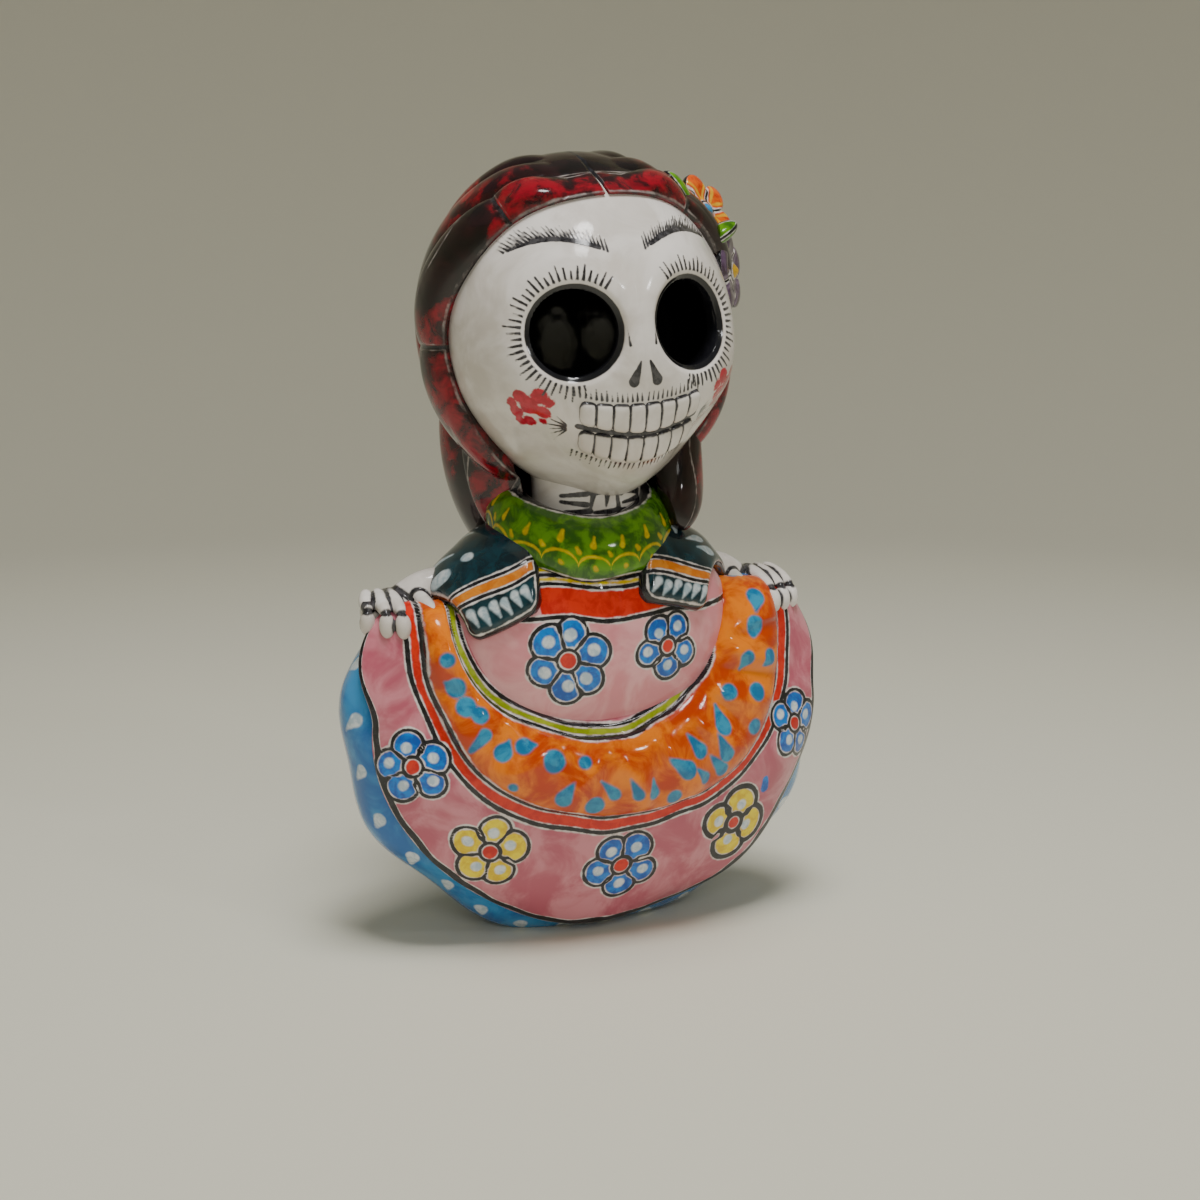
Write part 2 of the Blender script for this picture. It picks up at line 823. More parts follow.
    def apron(self) -> Piece:
        """Builds the apron with its flounce, closed behind inside the back of the skirt.

        Returns:
            The dressed apron.
        """
        along, hidden = 170, 22
        piece, angle, share = ball("skirt_apron", 560, along)
        ring, last, hem = share * along, along - hidden, self.hem(angle)
        front = ring <= last
        polar = np.where(front, hem * ring / last, hem * np.maximum(along - ring, 0.0) / (hidden - 6))
        polar = np.minimum(polar, hem)
        edge = (hem - polar) * self.hem_reach
        puffs = 1.2 * np.sin(self.hem_waves * angle + 0.6) * smooth(polar / hem, 0.75, 1.0)
        lip = (self.apron_step + puffs) * rolled_edge(edge, self.hem_round)
        points = self.surface(angle, polar, np.maximum(np.where(front, lip, -1.6 * (ring - last)), -9.0))
        points[:, 1] -= np.where(front, self.puffed(points[:, 0], points[:, 2]), 0.0)
        pigments = (ORANGE, LIME, VERMILION, TURQUOISE, COBALT, YELLOW, WHITE, INK)
        paint = Paint(press(piece, points), Majolica("majolica_apron", ROSE, pigments))
        unsteady = 0.35 * np.sin(angle * 31.0) + 0.25 * np.sin(angle * 17.0 + 1.0)
        self.paint_bands(paint, np.where(front, edge + unsteady, FAR))
        self.paint_drops(paint)
        for x, z, blossom, petal in APRON_FLOWERS:
            blossom.paint(paint, self.front_place, x, z, petal)
        for x, z, length, width in APRON_DABS:
            ends = self.front_place(x, z + length / 2.0), self.front_place(x, z - length / 2.0)
            paint.add("cobalt", drop(paint.points, *ends, width, 0.8))
        paint.fields["rose"][:] = -FAR
        return paint.dress(piece)

    def paint_bands(self, paint: Paint, to_hem: Array) -> None:
        """Paints the flounce's ground, the bands beside it and the hem's dark edge.

        Args:
            paint: the apron's paint, changed in place.
            to_hem: distance of each point from the hem.
        """
        x, _, z = wander(paint.points).T
        inside, outside = self.inner.distance(x, z), self.outer.distance(x, z)
        ring = self.ring_width * (0.92 + 0.12 * np.sin(3.0 * self.outer.angle(x, z) + 1.0))
        paint.add("orange", np.maximum(-inside, outside))
        paint.add("lime", np.maximum(inside, -self.lime_width - inside))
        paint.add("vermilion", np.maximum(-outside, outside - ring))
        lines = (inside, 1.1), (inside + self.lime_width, 1.3), (outside, 1.3), (outside - ring, 1.6)
        for distance, width in lines:
            paint.add("ink", np.abs(distance) - width / 2.0)
        paint.add("ink", np.abs(to_hem - self.hem_line) - self.hem_line_width / 2.0, z < self.top - 8.0)

    def paint_drops(self, paint: Paint) -> None:
        """Paints the turquoise drops on the flounce.

        Args:
            paint: the apron's paint, changed in place.
        """
        for degrees, across, length, width, lean in FLOUNCE_DROPS:
            angle, lean = math.radians(degrees), math.radians(lean)
            middle = self.ring_place(angle, across)
            along = unit(self.ring_place(angle + 0.02, across) - middle)
            outward = unit(self.ring_place(angle, across + 0.05) - middle)
            axis = (outward * math.cos(lean) + along * math.sin(lean)) * length
            ends = middle - axis * 0.6, middle + axis * 0.4
            paint.dab("turquoise", middle, 16.0, drop, *ends, width * self.drop_spread)

    def rear(self) -> Piece:
        """Builds the blue back of the skirt with its flat foot.

        Returns:
            The dressed back.
        """
        along, hidden = 170, 14
        piece, angle, share = ball("skirt_back", 440, along)
        ring, hem = share * along, self.hem(angle) - math.radians(6.0)
        seen = lerp(hem, math.pi, (ring - hidden) / (along - hidden))
        polar = np.where(ring <= hidden, hem * ring / hidden, seen)
        points = self.surface(angle, polar, np.where(ring < hidden, -7.0, 0.0))
        folds = self.fold_depth * np.sin(9.0 * angle + 1.2 * np.sin(2.0 * angle)) * np.sin(polar) ** 2
        outward = unit(points - np.array([0.0, 0.0, self.centre]))
        points += outward * (folds * smooth(ring, hidden, hidden + 30))[:, None]
        points[:, 2] = np.maximum(points[:, 2], 0.0)
        paint = Paint(press(piece, points), Majolica("majolica_skirt_back", SKY, (WHITE, INK)))
        self.paint_teardrops(paint)
        return paint.dress(piece)

    def paint_teardrops(self, paint: Paint) -> None:
        """Paints the rows of white drops that follow the hem round the back of the skirt.

        Args:
            paint: the back's paint, changed in place.
        """
        for row, (offset, length, width, count) in enumerate(BACK_DROPS):
            for index in range(count):
                angle = math.radians(-100.0) + (index + 0.5 * (row % 2)) * math.tau / count
                if math.sin(angle) > 0.75:
                    continue
                hem = self.hem(np.array([angle]))
                head, tip = (
                    self.surface(np.array([angle + lean]), hem + math.radians(offset + rise), 0.0)[0]
                    for lean, rise in ((0.0, 0.0), (0.05, length))
                )
                paint.dab("white", (head + tip) / 2.0, 20.0, drop, tip, head, width)

    def build(self) -> None:
        """Builds and dresses the two pieces of the skirt."""
        self.apron()
        self.rear()


# Folds of the flounce: angle round it, slant and width in degrees, and height in millimetres.
FLOUNCE_FOLDS = (
    (184.0, 4.0, 5.0, 1.2), (197.0, -8.0, 3.5, -1.0), (208.0, 9.0, 4.5, 1.3), (219.0, 12.0, 3.0, -1.1),
    (230.0, -6.0, 5.0, 1.2), (242.0, 10.0, 3.0, -1.3), (252.0, -10.0, 4.0, 1.1), (262.0, 8.0, 3.0, -0.9),
    (271.0, 14.0, 4.0, 1.2), (282.0, -9.0, 3.0, -1.2), (291.0, 10.0, 4.5, 1.3), (303.0, -12.0, 3.0, -1.1),
    (311.0, 8.0, 3.5, 1.2), (321.0, -8.0, 3.0, -1.3), (329.0, 9.0, 4.0, 1.4), (340.0, 5.0, 2.6, -1.4),
    (347.0, -6.0, 3.2, 1.3), (356.0, 6.0, 3.0, -1.2),
)

# Flowers of the apron: place in the front view, drawing and pigment of the petals.
APRON_FLOWERS = (
    (-73.6, 69.6, Blossom(5, 13.5, 0.5), "cobalt"), (-47.6, 37.7, Blossom(5, 14.2, 0.1), "yellow"),
    (0.9, 27.8, Blossom(5, 14.2, 0.9), "cobalt"), (46.9, 37.8, Blossom(4, 14.6, 1.36, 2.1, 1.14), "yellow"),
    (74.1, 71.5, Blossom(5, 13.0, 0.2), "cobalt"),
)

# Stray dabs of the brush on the apron: place in the front view, length and width.
APRON_DABS = ((60.0, 51.0, 3.2, 4.0),)

# Drops on the flounce: angle round it, share across it, length, width and lean in degrees.
FLOUNCE_DROPS = (
    (188.0, 0.4, 1.5, 5.0, 0.0), (197.0, 0.5, 6.5, 6.5, 125.0), (206.0, 0.45, 3.0, 6.5, 100.0),
    (214.0, 0.3, 1.5, 5.6, 0.0), (216.0, 0.72, 14.0, 4.6, 158.0), (228.0, 0.45, 5.5, 6.0, -20.0),
    (237.0, 0.25, 5.5, 5.6, -60.0), (233.0, 0.86, 1.0, 3.4, 0.0), (246.0, 0.35, 3.5, 7.6, 120.0),
    (252.0, 0.68, 8.0, 5.4, -30.0), (259.0, 0.25, 1.5, 4.4, 0.0), (261.0, 0.8, 1.5, 6.6, 0.0),
    (266.0, 0.6, 7.0, 4.4, 40.0), (273.0, 0.62, 7.0, 4.2, 10.0), (279.0, 0.66, 6.5, 4.2, -20.0),
    (284.0, 0.84, 1.5, 5.4, 0.0), (291.0, 0.5, 8.5, 6.4, 28.0), (296.0, 0.72, 7.0, 4.2, 10.0),
    (301.0, 0.4, 8.0, 5.6, -2.0), (303.0, 0.74, 8.5, 5.0, 2.0), (309.0, 0.62, 9.5, 5.4, -18.0),
    (316.0, 0.4, 8.0, 6.6, -32.0), (323.0, 0.82, 1.5, 5.4, 0.0), (326.0, 0.3, 3.0, 5.8, 40.0),
    (333.0, 0.66, 2.5, 6.4, 60.0), (341.0, 0.4, 5.5, 5.2, 75.0), (346.0, 0.74, 5.5, 5.6, 60.0),
    (354.0, 0.5, 6.0, 6.6, 80.0), (363.0, 0.6, 6.5, 6.8, 75.0), (372.0, 0.5, 7.0, 7.0, 60.0),
    (380.0, 0.6, 6.0, 6.0, 50.0),
)

# White drops on the back of the skirt: degrees behind the hem, length, width, number round.
BACK_DROPS = ((9.0, 8.0, 5.2, 30), (27.0, 13.0, 5.0, 26), (50.0, 11.0, 5.4, 20), (76.0, 10.0, 5.4, 13))


# Bodice, shawl, collar and neck

@dataclass
class Bodice:
    """The upper body: a round chest and shoulders that rise out of the skirt."""

    skirt: Skirt
    x: float = -2.5
    half_width: float = 57.0
    front: float = 37.0
    back: float = 35.0
    rise: float = 42.0
    drop: float = 54.0
    arm_drop: float = 15.0
    red_band: float = 11.0
    red_half: float = 27.0
    yellow_band: float = 2.9

    @property
    def level(self) -> float:
        """Level of the arms."""
        return self.skirt.top - self.arm_drop

    @property
    def shoulder(self) -> float:
        """Level of the top of the shoulders."""
        return self.level + self.rise

    def point(self, across: Array, angle: Array, lift: Number) -> Array:
        """Finds points of the bodice.

        Args:
            across: their share of the way from its middle to its side.
            angle: their angle over it from the front.
            lift: how far they stand out.

        Returns:
            The points.
        """
        narrow = np.sqrt(np.maximum(0.0, 1.0 - across * across))
        depth = np.where(np.cos(angle) > 0, self.front, self.back) + lift
        rise = np.where(np.sin(angle) > 0, self.rise, self.drop) + lift
        return columns(
            self.x + across * (self.half_width + lift),
            -np.cos(angle) * depth * narrow**0.8,
            self.level + np.sin(angle) * rise * narrow**0.9,
        )

    def front_place(self, x: float, z: float) -> Array:
        """Finds a point of the chest.

        Args:
            x: its place across the front view.
            z: its level.

        Returns:
            The point.
        """
        narrow = math.sqrt(max(0.0, 1.0 - ((x - self.x) / self.half_width) ** 2))
        rise = (self.rise if z > self.level else self.drop) * narrow**0.9
        sine = min(1.0, max(-1.0, (z - self.level) / rise))
        return np.array([x, -math.sqrt(1.0 - sine * sine) * self.front * narrow**0.8, z])

    def build(self) -> Piece:
        """Builds the chest and paints its two flowers and the red band below the collar.

        Returns:
            The dressed bodice.
        """
        piece, turn, share = ball("bodice", 330, 170)
        angle = turn - 0.55 * np.sin(turn)
        across = np.cos(math.pi * share + 0.22 * np.sin(math.tau * share))
        x, y, z = self.point(across, angle, 0.0).T
        crease = -0.9 * bump(x - self.x + 1.0, 1.7) + 0.7 * bump(x - self.x - 3.0, 2.6)
        banded = bump(z - self.shoulder + 27.0, 8.0) * (y < 0)
        placed = press(piece, self.point(across, angle, crease * banded))
        paint = Paint(placed, Majolica("majolica_bodice", PALE_ROSE, (VERMILION, YELLOW, COBALT, WHITE, INK)))
        x, y, z = wander(placed, 0.6).T
        band = self.shoulder - 32.6 + ((x - self.x) / 34.0) ** 2 - 0.5 * np.cos((x - self.x) / 6.0)
        collar, front = band + self.red_band, y < 0
        beside = np.abs(x - self.x) - self.red_half
        paint.add("vermilion", np.maximum(np.maximum(band - z, z - collar), beside), front)
        paint.add("yellow", collar - z, front)
        for level, width in ((band, 1.5), (collar, 1.3), (collar + self.yellow_band, 1.3)):
            paint.add("ink", np.abs(z - level) - width / 2.0, front)
        for x, z, blossom in CHEST_FLOWERS:
            blossom.paint(paint, self.front_place, x, z, "cobalt")
        return paint.dress(piece)


# Blue flowers of the chest: place in the front view and drawing.
CHEST_FLOWERS = ((-20.7, 105.3, Blossom(6, 15.5, 0.35)), (17.3, 107.6, Blossom(5, 12.5, 0.9)))


@dataclass(frozen=True)
class ShawlEnd:
    """How one end of the shawl lies on the chest.

    Attributes:
        side: the shoulder it comes over.
        middle: place of its lower edge across the chest, as a share of the half width.
        half: half its width there, as a share of the half width.
        low: angle of its lower edge over the chest, in degrees.
        slant: degrees by which the lower edge rises from its middle to the figure's left.
        panel: height of its lower panel in millimetres.
        drops: its loose drops: over and down of the head, over and down of the tip, and width.
    """

    side: Side
    middle: float
    half: float
    low: float
    slant: float
    panel: float
    drops: tuple[tuple[float, float, float, float, float], ...]


SHAWL_ENDS = (
    ShawlEnd(Side.RIGHT, 0.655, 0.2, 12.7, 8.5, 12.2, (
        (15.2, 28.2, 15.4, 29.0, 6.8), (5.4, 30.2, 5.6, 30.9, 4.3), (14.5, 41.0, 8.5, 37.0, 5.6),
        (9.6, 51.0, 4.2, 45.5, 5.4), (1.2, 52.0, -2.0, 43.5, 5.2), (-7.0, 55.0, -5.0, 46.0, 5.0),
        (11.0, 62.0, 6.0, 57.0, 5.2), (-2.0, 64.0, -3.0, 58.0, 4.8), (4.0, 72.0, 2.0, 66.0, 5.2),
        (-8.0, 74.0, -7.0, 68.0, 4.8), (-1.0, 84.0, -2.0, 78.0, 5.0), (-9.0, 90.0, -8.0, 84.0, 5.0),
    )),
    ShawlEnd(Side.LEFT, 0.39, 0.23, 16.7, -3.2, 9.8, (
        (3.4, 30.5, -0.6, 27.6, 5.2), (9.4, 26.0, 4.4, 24.4, 5.4), (-8.0, 36.0, -5.5, 29.5, 4.8),
        (13.0, 37.0, 8.0, 34.0, 5.2), (1.0, 46.0, -1.0, 40.0, 5.0), (-9.0, 50.0, -8.0, 44.0, 4.8),
        (12.0, 52.0, 9.0, 47.0, 5.0), (-1.0, 60.0, -2.0, 54.0, 5.0), (8.0, 68.0, 6.0, 62.0, 5.0),
        (-8.0, 70.0, -7.0, 64.0, 5.0), (0.0, 80.0, 0.0, 74.0, 5.0),
    )),
)


@dataclass
class Shawl:
    """The dark shawl: two ends that lie over the shoulders, and its cloth across the back."""

    bodice: Bodice
    thickness: float = 4.5
    middle: float = 0.68
    half_width: float = 0.3
    corner: float = 4.5
    stripe: float = 5.2
    back_half: float = 42.0
    back_deep: float = 48.0
    back_panel: float = 10.0
    back_drops: tuple[int, int] = (17, 14)
    back_across: float = 0.72
    back_low: float = 196.0
    back_high: float = 116.0

    def end_place(self, end: ShawlEnd, s: Array, t: Array, lift: Number) -> Array:
        """Finds points of one end.

        Args:
            end: how it lies.
            s: their place from the chest to the back, from -1 to 1.
            t: their place across it, from -1 to 1.
            lift: how far they stand out.

        Returns:
            The points.
        """
        share = (s + 1.0) / 2.0
        low = 1.0 - smooth(share, 0.0, 0.45)
        angle = np.radians(lerp(end.low, 176.0, share) + end.slant * t * (1.0 - share) ** 2)
        middle, half = lerp(self.middle, end.middle, low), lerp(self.half_width, end.half, low)
        across = end.side.value * middle + t * half
        beyond = 0.9 + 0.095 * np.tanh((np.abs(across) - 0.9) / 0.095)
        across = np.where(np.abs(across) > 0.9, np.sign(across) * beyond, across)
        return self.bodice.point(across, angle, lift)

    def lengths(self, end: ShawlEnd, s: Array, t: Array) -> tuple[Array, Array, Array]:
        """Measures one end along its own lines.

        Args:
            end: how it lies.
            s: place of each point from the lower edge to the back, from -1 to 1.
            t: place of each point across, from -1 to 1.

        Returns:
            Millimetres from the lower edge, from the middle, and from the middle to the side.
        """
        steps = np.linspace(-1.0, 1.0, 160)
        down = np.zeros_like(s)
        for value in np.unique(np.round(t, 5)):
            line = self.end_place(end, steps, np.full_like(steps, value), 0.0)
            run = np.concatenate([[0.0], np.cumsum(np.linalg.norm(np.diff(line, axis=0), axis=1))])
            chosen = np.abs(t - value) < 1e-4
            down[chosen] = np.interp(s[chosen], steps, run)
        rims = [self.end_place(end, steps, np.full_like(steps, rim), 0.0) for rim in (-1.0, 1.0)]
        half = np.interp(s, steps, np.linalg.norm(rims[1] - rims[0], axis=1) / 2.0)
        return down, t * half, half

    def end(self, end: ShawlEnd) -> Piece:
        """Builds one end and paints its stripe, its row of drops and its loose drops.

        Args:
            end: how it lies.

        Returns:
            The dressed end.
        """
        piece, s, t, on_top = slab(f"shawl_{end.side.name.lower()}_end", 300, 84)
        down, over, half = self.lengths(end, s, t)
        sides = half - np.abs(over) - 0.4 + 0.4 * np.sin(down / 6.0)
        into = np.maximum(self.corner - sides, 0.0), np.maximum(self.corner - down, 0.0)
        margin = np.minimum(self.corner - np.hypot(*into), down.max() - down)
        lift = np.where(on_top, self.thickness * lerp(-0.3, 1.0, rolled_edge(margin + 0.6, 4.4)), -3.0)
        lift += np.where(on_top, 0.35 * np.sin(over / 3.1) * smooth(down, 3.0, 30.0), 0.0)
        press(piece, self.end_place(end, s, t, lift))
        pattern = columns(over * end.side.value, down)
        paint = Paint(pattern, Majolica("majolica_shawl", TEAL, (AMBER, SHAWL_WHITE, INK)))
        self.paint_stripe(paint, down + 0.5 * np.sin(over / 4.0), end.panel)
        paint.add("ink", margin - 1.2)
        drops = list(end.drops)
        for index in range(6):
            x, uneven = lerp(-9.6, 9.6, index / 5.0) * -end.side.value, 0.4 * math.sin(index * 2.7)
            drops.append((x + 1.0, end.panel * 0.68 + uneven, x - 1.0, end.panel * 0.3 + uneven, 3.0))
        for *ends, width in drops:
            paint.add("white", drop(pattern, ends[2:], ends[:2], width))
        return paint.dress(piece)

    def paint_stripe(self, paint: Paint, down: Array, low: float) -> None:
        """Paints the stripe above a panel.

        Args:
            paint: the cloth's paint, changed in place.
            down: distance of each point from the cloth's lower edge.
            low: distance of the stripe from there.
        """
        high = low + self.stripe
        paint.add("amber", np.maximum(low - down, down - high))
        for level in (low, high):
            paint.add("ink", np.abs(down - level) - 0.6)

    def back_cloth(self) -> Piece:
        """Builds the cloth across the back, with the same panel, stripe and drops.

        Returns:
            The dressed cloth.
        """
        piece, s, t, on_top = slab("shawl_back", 260, 120)
        half, deep, share = self.back_half, self.back_deep, (t + 1.0) / 2.0
        over, down = s * half, share * deep
        margin = np.minimum(half - np.abs(over), np.minimum(down, deep - down))
        lift = np.where(on_top, self.thickness * lerp(0.25, 1.0, rolled_edge(margin, 4.0)), -3.0)
        angle = np.radians(lerp(self.back_low, self.back_high, share))
        press(piece, self.bodice.point(s * self.back_across, angle, lift))
        pattern = columns(over, down)
        paint = Paint(pattern, Majolica("majolica_shawl_back", TEAL, (AMBER, SHAWL_WHITE, INK)))
        self.paint_stripe(paint, down, self.back_panel)
        paint.add("ink", margin - 1.0)
        low_row, high_row = (np.linspace(5.0 - half, half - 5.0, count) for count in self.back_drops)
        for x in low_row:
            paint.add("white", drop(pattern, (x + 0.8, 3.2), (x - 0.8, 6.8), 3.0))
        for index, x in enumerate(high_row):
            y = 22.0 + 5.0 * (index % 2)
            paint.add("white", drop(pattern, (x + 1.0, y + 5.0), (x, y), 4.6))
        return paint.dress(piece)

    def build(self) -> None:
        """Builds the shawl's pieces."""
        for end in SHAWL_ENDS:
            self.end(end)
        self.back_cloth()


@dataclass
class Collar:
    """The green ruffle round the neck."""

    bodice: Bodice
    neck_radius: float = 20.0
    thickness: float = 6.0
    drop: float = 20.0
    rise: float = 13.0
    belly: float = 3.5
    gap: float = 4.0
    spread: float = 9.0
    scallop: float = 10.5
    half_turn: float = 118.0
    middle_radius: float = 30.0

    def place(self, s: Array, t: Array, lift: Array) -> Array:
        """Finds points of the ruffle.

        Args:
            s: their place round the neck, from -1 to 1.
            t: their place from its lower to its upper edge, from -1 to 1.
            lift: how far they stand out.

        Returns:
            The points.
        """
        angle = s * math.radians(self.half_turn)
        front = (1.0 + np.cos(angle * 1.1)) / 2.0
        down = (1.0 - t) / 2.0
        top = self.bodice.shoulder + self.rise * (0.15 + (1.0 - front) ** 0.8)
        bottom = self.bodice.shoulder - self.drop * front + np.sin(angle * 7.0) * 0.7
        belly = self.belly * np.sin(down * math.pi)
        radius = self.neck_radius + self.gap + self.spread * down * (0.45 + 0.55 * front) + belly + lift
        return columns(
            self.bodice.x * (1.0 + 0.8 * front) + np.sin(angle) * radius,
            -np.cos(angle) * radius * 0.97,
            lerp(top, bottom, down) + lift * 0.25,
        )

    def build(self) -> Piece:
        """Builds the ruffle and paints its yellow scallops and dabs.

        Returns:
            The dressed ruffle.
        """
        piece, s, t, on_top = slab("collar", 420, 72)
        depth = 17.0 + 6.0 * (1.0 + np.cos(s * 2.2)) / 2.0
        below = (1.0 + t) / 2.0 * depth
        margin = np.minimum(np.minimum(below, depth - below), (1.0 - np.abs(s)) * 60.0)
        half = self.thickness / 2.0
        top = half * lerp(0.1, 1.0, rolled_edge(margin, 3.2))
        press(piece, self.place(s, t, np.where(on_top, top, -half)))
        paint = Paint(columns(s, t), Majolica("majolica_ruffle", GREEN, (COLLAR_YELLOW, INK)))
        paint.add("ink", margin - 0.7)
        run = s * math.radians(self.half_turn) * self.middle_radius
        hand = run / self.scallop + 0.08 * np.sin(run / 7.0)
        below = below + 0.6 * np.sin(run / 5.0 + 1.0)
        share = np.abs((hand % 1.0) - 0.5) * 2.0
        arc = 4.6 + 4.4 * np.sqrt(np.maximum(0.0, 1.0 - share**2.2))
        paint.add("yellow", np.abs(below - arc) - 0.55)
        for offset, tip, head, width, point in COLLAR_DABS:
            pattern = columns((((hand + offset) % 1.0) - 0.5) * self.scallop, below)
            paint.add("yellow", drop(pattern, tip, head, width, point))
        return paint.dress(piece)


# Dabs in each scallop: place along it as a share, tip, head, width and width of the tip.
COLLAR_DABS = (
    (0.0, (0.3, 15.5), (-0.4, 12.6), 2.1, 0.4), (0.0, (0.0, 5.2), (0.2, 4.6), 1.7, 0.8),
    (0.5, (-0.5, 10.8), (0.2, 9.6), 1.6, 0.7),
)


@dataclass
class Neck:
    """The short neck, with the marks of its bones."""

    bodice: Bodice
    radius: float = 20.0
    height: float = 46.0

    def build(self) -> Piece:
        """Builds the neck.

        Returns:
            The dressed neck.
        """
        piece, turn, share = ball("neck", 200, 110)
        reach = np.minimum(1.0, np.sin(math.pi * share) * 6.0) ** 0.5
        z = self.bodice.level + 0.5 * self.bodice.rise + (1.0 - share) * self.height
        radius = self.radius * reach * (1.08 - 0.1 * np.sin(math.pi * share))
        placed = press(piece, columns(np.cos(turn) * radius, np.sin(turn) * radius, z))
        paint = Paint(placed, Majolica("majolica_neck", BONE, (GREY_INK,)))
        for tilt, across, up, half in NECK_MARKS:
            level = self.bodice.shoulder + 3.0 + up
            path = np.array([self.side_place(across + way * half, level + way * tilt) for way in (-1.0, 1.0)])
            paint.dab("ink", path.mean(axis=0), 14.0, stroke, path, (1.3, 2.3))
        return paint.dress(piece)

    def side_place(self, across: float, z: float) -> Array:
        """Returns a place on the front of the neck."""
        angle = across / self.radius
        return np.array([math.sin(angle) * self.radius, -math.cos(angle) * self.radius, z])


# Marks on the neck: tilt, place across, place above the collar and half length, in millimetres.
NECK_MARKS = (
    (0.5, -12.0, 5.6, 5.0), (-0.4, -12.0, 2.6, 5.0), (0.6, -3.0, 6.6, 3.4), (-0.6, 3.0, 6.6, 3.4),
    (2.6, -5.4, 3.0, 0.5), (-2.6, 4.8, 3.0, 0.5), (-0.5, 12.0, 6.0, 5.0), (0.6, 12.0, 3.0, 5.0),
    (0.3, -11.0, -0.4, 5.0), (-0.3, 11.0, -0.2, 5.0), (0.2, 0.0, -0.4, 4.6), (2.0, 0.2, 3.6, 0.2),
)


# Head

